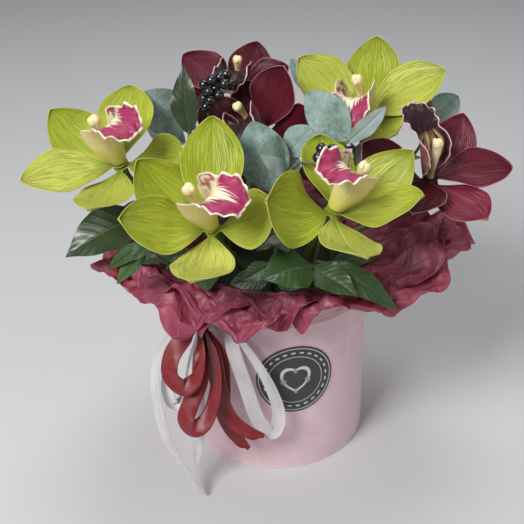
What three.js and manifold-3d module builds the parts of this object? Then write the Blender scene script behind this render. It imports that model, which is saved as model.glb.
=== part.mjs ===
// A hat-box flower arrangement: cut cymbidium heads, foliage and berries stand in floral foam inside a
// round cardboard box, with a ruff of tissue over the rim and two tied ribbons at the front left.
//
// Millimetres, +Z up. The origin is the centre of the underside of the box and the front is -Y.
import * as THREE from 'three';
import { mergeVertices } from 'three/addons/utils/BufferGeometryUtils.js';
import Module from 'manifold-3d';

const wasm = await Module();
wasm.setup();

// ---------------------------------------------------------------- driving dimensions

const FIT = 0.3; // clearance left between two pieces that touch
const ROUND_SIDES = 40; // sides of the box, its liner and its band

const BOX_RADIUS = 60;
const BOX_HEIGHT = 130;
const BOX_WALL = 2;
const BASE_THICKNESS = 2;

const LINER_WALL = 0.6;
const LINER_HEIGHT = 110;

const FOAM_TOP = 118;
const STEM_DEPTH = 34; // how far each stem is pushed into the foam
const HOLE_CLEARANCE = 0.6;

const LABEL_RADIUS = 25;
const LABEL_THICKNESS = 0.4;
const LABEL_HEIGHT = 72.5; // height of the label's centre
const LABEL_TURN = 10.5; // degrees to the right of the front

const BAND_WIDTH = 13;
const BAND_THICKNESS = 0.6;
const BAND_TOP = 125;

const WRAP_THICKNESS = 0.9;
const WRAP_WAVES = 14;
const WRAP_WAVE_HEIGHT = 6;

const RIBBON_THICKNESS = 0.6;
const RED_RIBBON_WIDTH = 11;
const WHITE_RIBBON_WIDTH = 9;

const TEPAL_THICKNESS = 1.2;
const GREEN_TEPAL_WIDTH = 35;
const BURGUNDY_TEPAL_WIDTH = 31;
const HUB_RADIUS = 5;
const HUB_HEIGHT = 2;
const COLUMN_RADIUS = 3;
const COLUMN_HEIGHT = 30;
const CAP_RADIUS = 3.6;
const LIP_LENGTH = 56;
const LIP_THICKNESS = 1.1;
const FLOWER_STEM_RADIUS = 2;

const LEAF_THICKNESS = 0.9;
const TWIG_RADIUS = 1.4;
const STALK_RADIUS = 0.9;
const BERRY_RADIUS = 3.3;

// ---------------------------------------------------------------- materials

const finish = (color, roughness, metalness = 0) => (
  new THREE.MeshStandardMaterial({ color, roughness, metalness })
);
const PINK_CARD = finish(0xe9c9cd, 0.55);
const LABEL_CARD = finish(0x3c3d40, 0.6);
const FOAM_GREEN = finish(0x2f5a3a, 0.95);
const LINER_CLEAR = finish(0xd9dedd, 0.3);
const BAND_SATIN = finish(0xe3b3ba, 0.4);
const RED_SATIN = finish(0xb3121f, 0.35);
const WHITE_ORGANZA = finish(0xf1eeee, 0.45);
const WINE_TISSUE = finish(0x8a3a55, 0.6);
const GREEN_TEPAL = finish(0xb5c23f, 0.5);
const CREAM_LIP = finish(0xe8dca8, 0.5);
const COLUMN_CREAM = finish(0xe9e2bd, 0.5);
const BURGUNDY_TEPAL = finish(0x6d1230, 0.45);
const MAROON_LIP = finish(0x2f0813, 0.4);
const STEM_GREEN = finish(0x7f9a3c, 0.55);
const EUCALYPTUS = finish(0x8fa59a, 0.75);
const DARK_LEAF = finish(0x1f4a24, 0.35);
const BERRY_BLACK = finish(0x14121a, 0.2);

// ---------------------------------------------------------------- solids and surfaces

const radians = THREE.MathUtils.degToRad;
const vector = (point) => new THREE.Vector3(...point);

// A closed geometry as a solid that can be joined and cut. A shape whose faces look inwards is turned.
function solidOf(geometry) {
  const bare = geometry.clone();
  bare.deleteAttribute('normal');
  bare.deleteAttribute('uv');
  const merged = mergeVertices(bare, 1e-4);
  const vertProperties = Float32Array.from(merged.attributes.position.array);
  const triVerts = Uint32Array.from(merged.index.array);
  const solid = new wasm.Manifold(new wasm.Mesh({ numProp: 3, vertProperties, triVerts }));
  if (solid.volume() > 0) return solid;
  for (let corner = 0; corner < triVerts.length; corner += 3) {
    [triVerts[corner], triVerts[corner + 1]] = [triVerts[corner + 1], triVerts[corner]];
  }
  return new wasm.Manifold(new wasm.Mesh({ numProp: 3, vertProperties, triVerts }));
}

function geometryOf(solid) {
  const { vertProperties, triVerts, numProp } = solid.getMesh();
  const positions = new Float32Array((vertProperties.length / numProp) * 3);
  for (let vertex = 0; vertex * numProp < vertProperties.length; vertex += 1) {
    for (let axis = 0; axis < 3; axis += 1) {
      positions[vertex * 3 + axis] = vertProperties[vertex * numProp + axis];
    }
  }
  const geometry = new THREE.BufferGeometry();
  geometry.setAttribute('position', new THREE.BufferAttribute(positions, 3));
  geometry.setIndex(new THREE.BufferAttribute(Uint32Array.from(triVerts), 1));
  geometry.computeVertexNormals();
  return geometry;
}

// Joins closed geometries into one, and fills any small gap that they seal in where they press together.
function join(geometries) {
  const whole = geometries.map(solidOf).reduce((sum, solid) => sum.add(solid));
  const bodies = whole.decompose().filter((body) => body.volume() > 0);
  return geometryOf(bodies.reduce((sum, body) => sum.add(body)));
}

// A thin closed solid around a surface: place(u, v), with u and v from 0 to 1, gives the middle of the
// sheet, which is thickened half to each side along its own normal. A loop closes on itself along u.
function thinSolid(place, columns, rows, thickness, loop = false) {
  const step = 1e-3;
  const across = loop ? columns : columns + 1;
  const along = rows + 1;
  const positions = [];
  for (const side of [0.5, -0.5]) {
    for (let column = 0; column < across; column += 1) {
      for (let row = 0; row < along; row += 1) {
        const u = column / columns;
        const v = row / rows;
        const [before, after] = loop ? [u - step, u + step] : [Math.max(u - step, 0), Math.min(u + step, 1)];
        const du = place(after, v).sub(place(before, v));
        const dv = place(u, Math.min(v + step, 1)).sub(place(u, Math.max(v - step, 0)));
        const normal = du.cross(dv).normalize();
        positions.push(...place(u, v).addScaledVector(normal, side * thickness).toArray());
      }
    }
  }
  const top = (column, row) => (column % across) * along + row;
  const bottom = (column, row) => across * along + top(column, row);
  const faces = [];
  const quad = (a, b, c, d) => faces.push(a, b, c, a, c, d);
  for (let column = 0; column < columns; column += 1) {
    for (let row = 0; row < rows; row += 1) {
      const [left, right] = [column, column + 1];
      quad(top(left, row), top(right, row), top(right, row + 1), top(left, row + 1));
      quad(bottom(left, row), bottom(left, row + 1), bottom(right, row + 1), bottom(right, row));
    }
    quad(top(column, 0), bottom(column, 0), bottom(column + 1, 0), top(column + 1, 0));
    quad(top(column + 1, rows), bottom(column + 1, rows), bottom(column, rows), top(column, rows));
  }
  if (!loop) {
    for (let row = 0; row < rows; row += 1) {
      quad(top(0, row + 1), bottom(0, row + 1), bottom(0, row), top(0, row));
      quad(top(columns, row), bottom(columns, row), bottom(columns, row + 1), top(columns, row + 1));
    }
  }
  const geometry = new THREE.BufferGeometry();
  geometry.setAttribute('position', new THREE.Float32BufferAttribute(positions, 3));
  geometry.setIndex(faces);
  return geometry;
}

// A round bar along a curve.
function bar(curve, radius, sides, steps) {
  const corners = Array.from({ length: sides }, (_, side) => {
    const angle = (2 * Math.PI * side) / sides;
    return new THREE.Vector2(radius * Math.cos(angle), radius * Math.sin(angle));
  });
  const settings = { extrudePath: curve, steps, bevelEnabled: false };
  return new THREE.ExtrudeGeometry(new THREE.Shape(corners), settings);
}

// A solid of revolution about +Z from [radius, height] corners.
function turned(corners) {
  const points = corners.map(([radius, height]) => new THREE.Vector2(radius, height));
  return new THREE.LatheGeometry(points, ROUND_SIDES).rotateX(Math.PI / 2);
}

function upright(radius, bottom, top, sides) {
  const cylinder = new THREE.CylinderGeometry(radius, radius, top - bottom, sides);
  return cylinder.rotateX(Math.PI / 2).translate(0, 0, (bottom + top) / 2);
}

// A direction: turned about +Z from the front (-Y) towards +X, and raised above level, in degrees.
function facing(turn, rise) {
  const level = Math.cos(radians(rise));
  return new THREE.Vector3(
    Math.sin(radians(turn)) * level,
    -Math.cos(radians(turn)) * level,
    Math.sin(radians(rise)),
  );
}

// A smooth value between hand-set ones around the full turn: stops are [degrees, ...values].
function aroundStops(stops, degrees) {
  const turn = ((degrees % 360) + 360) % 360;
  const last = stops.length - 1;
  let index = stops.findIndex(([stop]) => stop > turn) - 1;
  if (index < 0) index = last;
  const next = (index + 1) % stops.length;
  const span = (stops[next][0] - stops[index][0] + 360) % 360;
  const part = ((turn - stops[index][0] + 360) % 360) / span;
  const ease = part * part * (3 - 2 * part);
  return stops[index].slice(1).map((value, slot) => value + (stops[next][slot + 1] - value) * ease);
}

// How wide a blade is at s along its length, from 0 to 1, of its full width. It is widest at `widest`.
function outline(s, widest, fullness) {
  const power = Math.log(0.5) / Math.log(widest);
  return Math.sin(Math.PI * Math.min(Math.max(s, 0), 1) ** power) ** fullness;
}

const arrangement = new THREE.Group();

function add(name, geometry, material, parent = arrangement) {
  const mesh = new THREE.Mesh(geometry, material);
  mesh.name = name;
  parent.add(mesh);
  return mesh;
}

// ---------------------------------------------------------------- the box, its liner, label and band

const INNER_RADIUS = BOX_RADIUS - BOX_WALL;
const LINER_RADIUS = INNER_RADIUS - 2 * FIT;
const FOAM_RADIUS = LINER_RADIUS - LINER_WALL - FIT;
const LINER_BOTTOM = BASE_THICKNESS + FIT;
const FOAM_BOTTOM = LINER_BOTTOM + LINER_WALL + FIT;

add('hat_box_wall', turned([
  [INNER_RADIUS, 0], [BOX_RADIUS, 0], [BOX_RADIUS, BOX_HEIGHT], [INNER_RADIUS, BOX_HEIGHT], [INNER_RADIUS, 0],
]), PINK_CARD);

add('hat_box_base', upright(INNER_RADIUS - FIT, 0, BASE_THICKNESS, ROUND_SIDES), PINK_CARD);

add('waterproof_liner', turned([
  [0, LINER_BOTTOM], [LINER_RADIUS, LINER_BOTTOM], [LINER_RADIUS, LINER_HEIGHT],
  [LINER_RADIUS - LINER_WALL, LINER_HEIGHT], [LINER_RADIUS - LINER_WALL, LINER_BOTTOM + LINER_WALL],
  [0, LINER_BOTTOM + LINER_WALL],
]), LINER_CLEAR);

// The label lies on the wall: a disc bent to the box's radius.
function labelPlace(u, v) {
  const spread = (2 * u - 1) * LABEL_RADIUS;
  const reach = Math.sqrt(Math.max(LABEL_RADIUS ** 2 - spread ** 2, 1));
  const radius = BOX_RADIUS + FIT + LABEL_THICKNESS / 2;
  const turn = radians(LABEL_TURN) + spread / radius;
  const height = LABEL_HEIGHT + (2 * v - 1) * reach;
  return new THREE.Vector3(radius * Math.sin(turn), -radius * Math.cos(turn), height);
}
add('round_label', thinSolid(labelPlace, 16, 2, LABEL_THICKNESS), LABEL_CARD);

const BAND_INNER = BOX_RADIUS + FIT;
const BAND_OUTER = BAND_INNER + BAND_THICKNESS;
const BAND_BOTTOM = BAND_TOP - BAND_WIDTH;
add('ribbon_band', turned([
  [BAND_INNER, BAND_BOTTOM], [BAND_OUTER, BAND_BOTTOM], [BAND_OUTER, BAND_TOP], [BAND_INNER, BAND_TOP],
  [BAND_INNER, BAND_BOTTOM],
]), BAND_SATIN);

// ---------------------------------------------------------------- the tissue ruff

// Where the ruff's free edge lies: degrees about +Z from +X, distance from the axis and height.
const RUFF_EDGE = [
  [0, 127, 140], [45, 108, 147], [90, 97, 146], [135, 104, 142], [180, 117, 133], [205, 107, 136],
  [222, 93, 128], [240, 88, 119], [255, 84, 125], [275, 79, 128], [300, 86, 130], [320, 100, 133],
  [340, 116, 136],
];
const RUFF_ROWS = [0, 0.14, 0.28, 0.62, 1]; // tucked edge, foam edge, rim, half way out, free edge

// The ruff starts on the foam, climbs inside the wall, folds over the rim and fans out in waves.
function ruffPlace(u, v) {
  const turn = 360 * u;
  const [edgeRadius, edgeHeight] = aroundStops(RUFF_EDGE, turn);
  const rim = [INNER_RADIUS + BOX_WALL * 0.4, BOX_HEIGHT + 3.2];
  const profile = [
    [INNER_RADIUS - 5.5, FOAM_TOP + 1.3],
    [INNER_RADIUS - 3.2, BOX_HEIGHT - 3],
    rim,
    [rim[0] + (edgeRadius - rim[0]) * 0.5, rim[1] + Math.max(edgeHeight - rim[1], -6) * 0.3 + 2],
    [edgeRadius, edgeHeight],
  ];
  let row = RUFF_ROWS.findIndex((stop) => stop >= v) - 1;
  if (row < 0) row = 0;
  const part = (v - RUFF_ROWS[row]) / (RUFF_ROWS[row + 1] - RUFF_ROWS[row]);
  const radius = profile[row][0] + (profile[row + 1][0] - profile[row][0]) * part;
  const height = profile[row][1] + (profile[row + 1][1] - profile[row][1]) * part;
  const out = Math.max(0, (v - RUFF_ROWS[2]) / (1 - RUFF_ROWS[2]));
  const wave = Math.sin(radians(turn * WRAP_WAVES)) * WRAP_WAVE_HEIGHT * out ** 1.5;
  return new THREE.Vector3(
    radius * Math.cos(radians(turn)),
    radius * Math.sin(radians(turn)),
    height + wave,
  );
}
// Rows are laid on the profile's own corners.
const ruffRow = (v) => {
  const place = v * (RUFF_ROWS.length - 1);
  const row = Math.min(Math.floor(place), RUFF_ROWS.length - 2);
  return RUFF_ROWS[row] + (RUFF_ROWS[row + 1] - RUFF_ROWS[row]) * (place - row);
};
add(
  'tissue_wrap',
  thinSolid((u, v) => ruffPlace(u, ruffRow(v)), 3 * WRAP_WAVES, RUFF_ROWS.length - 1, WRAP_THICKNESS, true),
  WINE_TISSUE,
);

// ---------------------------------------------------------------- the tied ribbons

// A flat strip along hand-set points. Its width lies along the box at twist 0 and stands out at 90.
function strip(points, width, twists) {
  const curve = new THREE.CatmullRomCurve3(points.map(vector), false, 'centripetal');
  const steps = Math.round(1.5 * (points.length - 1));
  const place = (u, v) => {
    const centre = curve.getPoint(u);
    const along = curve.getTangent(u);
    const outward = new THREE.Vector3(centre.x, centre.y, 0).normalize();
    const side = new THREE.Vector3().crossVectors(along, outward).normalize();
    const lift = new THREE.Vector3().crossVectors(side, along).normalize();
    const twist = radians(twists[0] + (twists[1] - twists[0]) * u);
    const reach = (v - 0.5) * width;
    return centre
      .addScaledVector(side, Math.cos(twist) * reach)
      .addScaledVector(lift, Math.sin(twist) * reach);
  };
  return thinSolid(place, steps, 1, RIBBON_THICKNESS);
}

// A knot is a flattened ball that lies on the band, at the given distance from the axis.
const KNOT_TURN = -42.5;
const KNOT_HEIGHT = 112;
const KNOT_HALF = [7.5, 3, 6.5]; // along the band, outwards, up
function knot(distance) {
  const ball = new THREE.SphereGeometry(1, 10, 6).scale(...KNOT_HALF).rotateZ(radians(KNOT_TURN));
  const place = facing(KNOT_TURN, 0).multiplyScalar(distance);
  return ball.translate(place.x, place.y, KNOT_HEIGHT);
}
const WHITE_KNOT = BAND_OUTER + FIT + KNOT_HALF[1];
const RED_KNOT = WHITE_KNOT + 2 * KNOT_HALF[1] + 2 * FIT;

const WHITE_STRIPS = [
  { // long tail, down to the table
    points: [
      [-47, -43, 112], [-57, -46, 108], [-66, -53, 102], [-73, -59, 93], [-76, -65, 81], [-75, -72, 66],
      [-72, -78, 51], [-66, -82, 35], [-58, -84, 19], [-50, -86, 4],
    ],
    twists: [0, 20],
  },
  { // left loop
    points: [
      [-47, -44, 110], [-57, -49, 103], [-65, -58, 89], [-69, -64, 73], [-66, -66, 61], [-60, -61, 64],
      [-56, -53, 83], [-47, -45, 107],
    ],
    twists: [10, 40],
  },
  { // right loop
    points: [
      [-40, -50, 111], [-30, -58, 107], [-26, -64, 94], [-20, -68, 74], [-14, -71, 53], [-8, -73, 44],
      [-3, -73, 43], [0, -71, 55], [-5, -69, 74], [-15, -66, 94], [-25, -62, 108], [-38, -53, 114],
    ],
    twists: [15, 30],
  },
  { // short tail behind the red ribbon
    points: [[-46, -47, 108], [-49, -56, 92], [-50, -64, 68], [-50, -72, 47], [-54, -78, 21]],
    twists: [0, 25],
  },
];
const RED_STRIPS = [
  { // high loop, to the left
    points: [
      [-51, -60, 114], [-56, -65, 111], [-64, -71, 101], [-65, -76, 90], [-57, -78, 83], [-49, -76, 89],
      [-46, -69, 101], [-46, -55, 111],
    ],
    twists: [20, 30],
  },
  { // low loop
    points: [
      [-47, -54, 109], [-46, -67, 99], [-48, -73, 84], [-54, -79, 71], [-57, -83, 62], [-53, -85, 57],
      [-46, -84, 60], [-41, -80, 69], [-38, -74, 84], [-39, -66, 99], [-44, -55, 110],
    ],
    twists: [15, 25],
  },
  { // long tail
    points: [
      [-44, -56, 109], [-39, -64, 95], [-37, -69, 79], [-34, -73, 63], [-27, -76, 52], [-18, -78, 46],
      [-10, -79, 43],
    ],
    twists: [0, 45],
  },
  { // short tail, seen along its edge
    points: [
      [-43, -56, 108], [-36, -61, 92], [-35, -65, 74], [-35, -69, 58], [-31, -72, 46], [-25, -74, 37],
      [-20, -76, 31],
    ],
    twists: [10, 70],
  },
];
const bow = (distance, strips, width) => (
  join([knot(distance), ...strips.map(({ points, twists }) => strip(points, width, twists))])
);
add('white_ribbon', bow(WHITE_KNOT, WHITE_STRIPS, WHITE_RIBBON_WIDTH), WHITE_ORGANZA);
add('red_ribbon', bow(RED_KNOT, RED_STRIPS, RED_RIBBON_WIDTH), RED_SATIN);

// ---------------------------------------------------------------- cymbidium heads

// A head looks along its own +Z and its dorsal side is its own +Y. Tepals are [angle from the dorsal
// side towards -X, lift above the head's plane, length, twist], with a breadth where one is broader than
// the others, and foot is where the stem enters the foam.
const HEADS = [
  {
    name: 'green_left', burgundy: false, centre: [-91, -16, 203], turn: -43, rise: 67, roll: 90,
    sepals: [[0, 30, 57, -16], [123, 17, 57, -8], [-155, 6, 45, 20]],
    petals: [[61, 20, 59, -12], [-59, 18, 56, 14]],
    foot: [-36, 2],
  },
  {
    name: 'green_front_left', burgundy: false, centre: [-36, -63, 183], turn: -28, rise: 62, roll: 82,
    sepals: [[-9, 34, 57, -10], [119, 24, 56, -8], [-155, 24, 45, 20]],
    petals: [[50, 40, 56, -22], [-66, 29, 64, 8, 1.05]],
    foot: [-20, -28],
  },
  {
    name: 'green_front_right', burgundy: false, centre: [33, -54, 187], turn: 63, rise: 62, roll: -109,
    sepals: [[-2, 41, 59, 6], [168, 12, 56, -40, 1.22], [-124, 18, 57, 10]],
    petals: [[65, 20, 50, -6], [-64, 47, 54, 14]],
    foot: [16, -30],
  },
  {
    name: 'green_top_right', burgundy: false, centre: [60, 35, 210], turn: -25, rise: 55, roll: 7,
    sepals: [[-2, 14, 56, 4], [126, 34, 44, -6], [-128, 19, 34, 2]],
    petals: [[59, 27, 57, 2], [-64, 17, 58, 6]],
    foot: [26, 18],
  },
  {
    name: 'burgundy_back', burgundy: true, centre: [-22, 72, 213], turn: 2, rise: 68, roll: -14,
    sepals: [[-7, 17, 46, 8], [126, 14, 47, -10], [-127, 5, 40, 8]],
    petals: [[68, 20, 47, -9], [-61, 24, 40, 8]],
    foot: [-12, 32],
  },
  {
    name: 'burgundy_centre', burgundy: true, centre: [-8, 25, 204], turn: -40, rise: 48, roll: 42,
    sepals: [[-2, 18, 38, 6], [127, 16, 35, -8], [-116, 20, 48, 12]],
    petals: [[53, 26, 43, -10], [-57, 30, 46, 12, 1.1]],
    foot: [-6, 8],
  },
  {
    name: 'burgundy_right', burgundy: true, centre: [95, -15, 187], turn: -6, rise: 78, roll: -140,
    curl: 0.62,
    sepals: [[0, 0, 48, 8], [111, 30, 49, 10], [-137, 28, 48, -20, 1.2]],
    petals: [[58, 6, 50, 14], [-58, 5, 40, -4]],
    foot: [38, 4],
  },
];

// A tepal leaves its hub near the head's axis on a curve that lifts towards the tip, turns about its own
// length by its twist, and cups its edges forwards. It is narrow at the hub.
const TWIST_BY = 0.5; // share of the length over which the twist grows
// How each whorl leaves the hub: height of its middle, first rise and its growth with the lift, cup, and
// where and how fully a tepal is broadest.
const SEPAL_WHORL = {
  middle: -HUB_HEIGHT / 2, rise: 0, growth: 0.15, cup: 0.1, widest: 0.58, fullness: 0.74,
};
const PETAL_WHORL = {
  middle: FIT + HUB_HEIGHT / 2, rise: 12, growth: 0.5, cup: 0.2, widest: 0.55, fullness: 0.7,
};
function tepal([angle, lift, length, twist, breadth = 1], fullWidth, whorl) {
  const out = new THREE.Vector3(-Math.sin(radians(angle)), Math.cos(radians(angle)), 0);
  const up = new THREE.Vector3(0, 0, 1);
  const side = new THREE.Vector3().crossVectors(out, up);
  const raised = (reach, rise) => (
    out.clone().multiplyScalar(reach * Math.cos(rise)).addScaledVector(up, reach * Math.sin(rise))
  );
  const start = out.clone().multiplyScalar(HUB_RADIUS - 0.8).addScaledVector(up, whorl.middle);
  const tip = raised(length, radians(lift));
  const first = radians(whorl.rise + whorl.growth * lift);
  const bend = start.clone().add(raised(start.distanceTo(tip) * 0.5, first));
  const curve = new THREE.QuadraticBezierCurve3(start, bend, tip);
  const place = (u, v) => {
    const across = 2 * v - 1;
    const along = curve.getTangent(u);
    const front = new THREE.Vector3().crossVectors(side, along);
    const grown = Math.min(u / TWIST_BY, 1);
    const spin = radians(twist) * grown * grown * (3 - 2 * grown);
    const swell = outline(u, whorl.widest, whorl.fullness);
    const half = Math.max(0.5 * fullWidth * breadth * swell, 2.2 - 1.4 * u);
    const reach = across * half;
    const cup = whorl.cup * half * across * across;
    return curve.getPoint(u)
      .addScaledVector(side, reach * Math.cos(spin) + cup * Math.sin(spin))
      .addScaledVector(front, cup * Math.cos(spin) - reach * Math.sin(spin));
  };
  return thinSolid(place, 6, 2, TEPAL_THICKNESS);
}

const hub = (radius, bottom) => upright(radius, bottom, bottom + HUB_HEIGHT, 8);

// The lip's trough leaves below the column, its side lobes fold up round the column into an open cup,
// and its front lobe flares out and curls down. Stops are [place along it, heading off the axis, half
// width, fold].
const LIP_STOPS = [
  [0, 8, 5, 60], [0.1, 6, 12, 100], [0.26, 8, 20, 118], [0.46, 16, 21, 108], [0.58, 44, 12, 52],
  [0.8, 96, 14, 18], [1, 138, 6, 10],
];
function lipStop(s) {
  let index = LIP_STOPS.findIndex(([stop]) => stop > s) - 1;
  if (index < 0) index = LIP_STOPS.length - 2;
  const [from, to] = [LIP_STOPS[index], LIP_STOPS[index + 1]];
  const part = (s - from[0]) / (to[0] - from[0]);
  return from.slice(1).map((value, slot) => value + (to[slot + 1] - value) * part);
}
// Curl is the share of its heading that a lip keeps.
function lip(scale, curl) {
  const pieces = 40;
  const line = [new THREE.Vector3(0, -HUB_RADIUS + 0.6, HUB_HEIGHT + 2 * FIT + 0.2)];
  for (let piece = 0; piece < pieces; piece += 1) {
    const heading = radians(lipStop((piece + 0.5) / pieces)[0] * curl);
    const move = new THREE.Vector3(0, -Math.sin(heading), Math.cos(heading));
    line.push(line.at(-1).clone().addScaledVector(move, (LIP_LENGTH * scale) / pieces));
  }
  const place = (u, v) => {
    const at = Math.min(u * pieces, pieces - 1e-6);
    const index = Math.floor(at);
    const middle = line[index].clone().lerp(line[index + 1], at - index);
    const [headingDegrees, half, foldDegrees] = lipStop(u);
    const heading = radians(headingDegrees * curl);
    const inner = new THREE.Vector3(0, Math.cos(heading), Math.sin(heading));
    const fold = radians(foldDegrees);
    const bendRadius = (half * scale) / fold;
    const angle = fold * (2 * v - 1);
    middle.x += bendRadius * Math.sin(angle);
    return middle.addScaledVector(inner, bendRadius * (1 - Math.cos(angle)));
  };
  return thinSolid(place, 9, 6, LIP_THICKNESS);
}

// The column stands on the petals' hub inside the lip's cup, with the anther cap at its end.
function column(scale) {
  const foot = HUB_HEIGHT + 2 * FIT;
  const along = [[0, 0], [0.4, 0.15], [2.6, 0.45], [4.2, 0.75], [4, 1]]; // dorsal offset, share of height
  const points = along.map(([offset, share]) => (
    new THREE.Vector3(0, offset * scale, foot + share * COLUMN_HEIGHT * scale)
  ));
  const cap = new THREE.SphereGeometry(CAP_RADIUS * scale, 7, 4).translate(...points.at(-1).toArray());
  return join([bar(new THREE.CatmullRomCurve3(points), COLUMN_RADIUS * scale, 6, 4), cap]);
}

// A stem rises straight from its hole in the foam and bends to meet a point along a given direction.
function stemCurve(foot, end, direction) {
  const top = new THREE.Vector3(foot[0], foot[1], FOAM_TOP + 3);
  const bottom = top.clone().setZ(FOAM_TOP - STEM_DEPTH);
  const reach = 0.4 * top.distanceTo(end);
  const path = new THREE.CurvePath();
  path.add(new THREE.LineCurve3(bottom, top));
  path.add(new THREE.CubicBezierCurve3(
    top,
    top.clone().setZ(top.z + reach),
    end.clone().addScaledVector(direction, -reach),
    end,
  ));
  return path;
}

for (const head of HEADS) {
  const { name, burgundy, centre, turn, rise, roll, curl = 1, sepals, petals, foot } = head;
  const look = facing(turn, rise);
  const upward = new THREE.Vector3(0, 0, 1).addScaledVector(look, -look.z).normalize();
  const side = new THREE.Vector3().crossVectors(upward, look);
  const spin = radians(roll);
  const dorsal = upward.clone().multiplyScalar(Math.cos(spin)).addScaledVector(side, -Math.sin(spin));
  const across = new THREE.Vector3().crossVectors(dorsal, look);
  const group = new THREE.Group();
  group.position.set(...centre);
  group.quaternion.setFromRotationMatrix(new THREE.Matrix4().makeBasis(across, dorsal, look));
  arrangement.add(group);

  const width = burgundy ? BURGUNDY_TEPAL_WIDTH : GREEN_TEPAL_WIDTH;
  const scale = burgundy ? 0.85 : 1;
  const tepalColour = burgundy ? BURGUNDY_TEPAL : GREEN_TEPAL;
  const sepalHub = -HUB_HEIGHT;
  const petalHub = FIT;
  add(`${name}_sepals`, join([
    hub(HUB_RADIUS, sepalHub),
    ...sepals.map((sepal) => tepal(sepal, width, SEPAL_WHORL)),
  ]), tepalColour, group);
  add(`${name}_petals`, join([
    hub(HUB_RADIUS - 0.4, petalHub),
    ...petals.map((petal) => tepal(petal, width, PETAL_WHORL)),
  ]), tepalColour, group);
  add(`${name}_lip`, lip(scale, curl), burgundy ? MAROON_LIP : CREAM_LIP, group);
  add(`${name}_column`, column(scale), COLUMN_CREAM, group);

  const end = vector(centre).addScaledVector(look, sepalHub - FIT);
  add(`${name}_stem`, bar(stemCurve(foot, end, look), FLOWER_STEM_RADIUS, 6, 7), STEM_GREEN);
}

// ---------------------------------------------------------------- foliage and berries

// A leaf blade from base to tip, facing a direction, arched along its length and folded at its midrib.
function blade({ base, tip, width, face }, shape) {
  const start = vector(base);
  const end = vector(tip);
  const along = end.clone().sub(start);
  const length = along.length();
  along.normalize();
  const front = facing(...face);
  front.addScaledVector(along, -front.dot(along)).normalize();
  const side = new THREE.Vector3().crossVectors(along, front);
  const place = (u, v) => {
    const across = 2 * v - 1;
    const half = Math.max(0.5 * width * outline(u, shape.widest, shape.fullness), 0.9);
    const raised = shape.arch * length * Math.sin(Math.PI * u) + shape.fold * half * Math.abs(across);
    return start.clone()
      .addScaledVector(along, u * length)
      .addScaledVector(front, raised)
      .addScaledVector(side, across * half);
  };
  return thinSolid(place, shape.steps, 2, LEAF_THICKNESS);
}
const ROUND_LEAF = { widest: 0.5, fullness: 0.7, arch: 0.05, fold: 0.08, steps: 4 };
const POINTED_LEAF = { widest: 0.42, fullness: 1, arch: 0.08, fold: 0.12, steps: 4 };
const SMALL_LEAF = { widest: 0.5, fullness: 1, arch: 0.05, fold: 0.1, steps: 3 };

// The point of a twig nearest to a place a little below a leaf's base.
function nearestOn(curve, base) {
  const target = vector(base).setZ(base[2] - 6);
  const points = curve.getSpacedPoints(40);
  return points.reduce((best, point) => (
    point.distanceTo(target) < best.distanceTo(target) ? point : best
  ));
}

// A sprig is one twig with side twigs, leaf stalks and blades, or berries, grown in one piece.
function sprig({ foot, top, leaves = [], berries = [], twigs = [] }, shape) {
  const main = stemCurve(foot, vector(top), new THREE.Vector3(0, 0, 1));
  const curves = [main];
  const pieces = [bar(main, TWIG_RADIUS, 5, 7)];
  for (const end of twigs) {
    const from = nearestOn(main, end);
    const to = vector(end);
    const bend = from.clone().lerp(to, 0.4).setZ((from.z + to.z) / 2 + 8);
    const curve = new THREE.QuadraticBezierCurve3(from, bend, to);
    curves.push(curve);
    pieces.push(bar(curve, TWIG_RADIUS * 0.8, 5, 4));
  }
  const nearest = (base) => curves.map((curve) => nearestOn(curve, base)).reduce((best, point) => (
    point.distanceTo(vector(base)) < best.distanceTo(vector(base)) ? point : best
  ));
  for (const leaf of leaves) {
    const base = vector(leaf.base);
    const along = vector(leaf.tip).sub(base).normalize();
    const into = base.clone().addScaledVector(along, 3);
    const stalk = new THREE.QuadraticBezierCurve3(
      nearest(leaf.base),
      base.clone().addScaledVector(along, -6),
      into,
    );
    pieces.push(bar(stalk, STALK_RADIUS, 4, 2), blade(leaf, shape));
  }
  for (const berry of berries) {
    const middle = vector(berry);
    const from = nearest(berry);
    pieces.push(
      bar(new THREE.LineCurve3(from, middle), STALK_RADIUS * 0.8, 5, 1),
      new THREE.SphereGeometry(BERRY_RADIUS, 6, 4).translate(...berry),
    );
  }
  return join(pieces);
}

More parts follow.
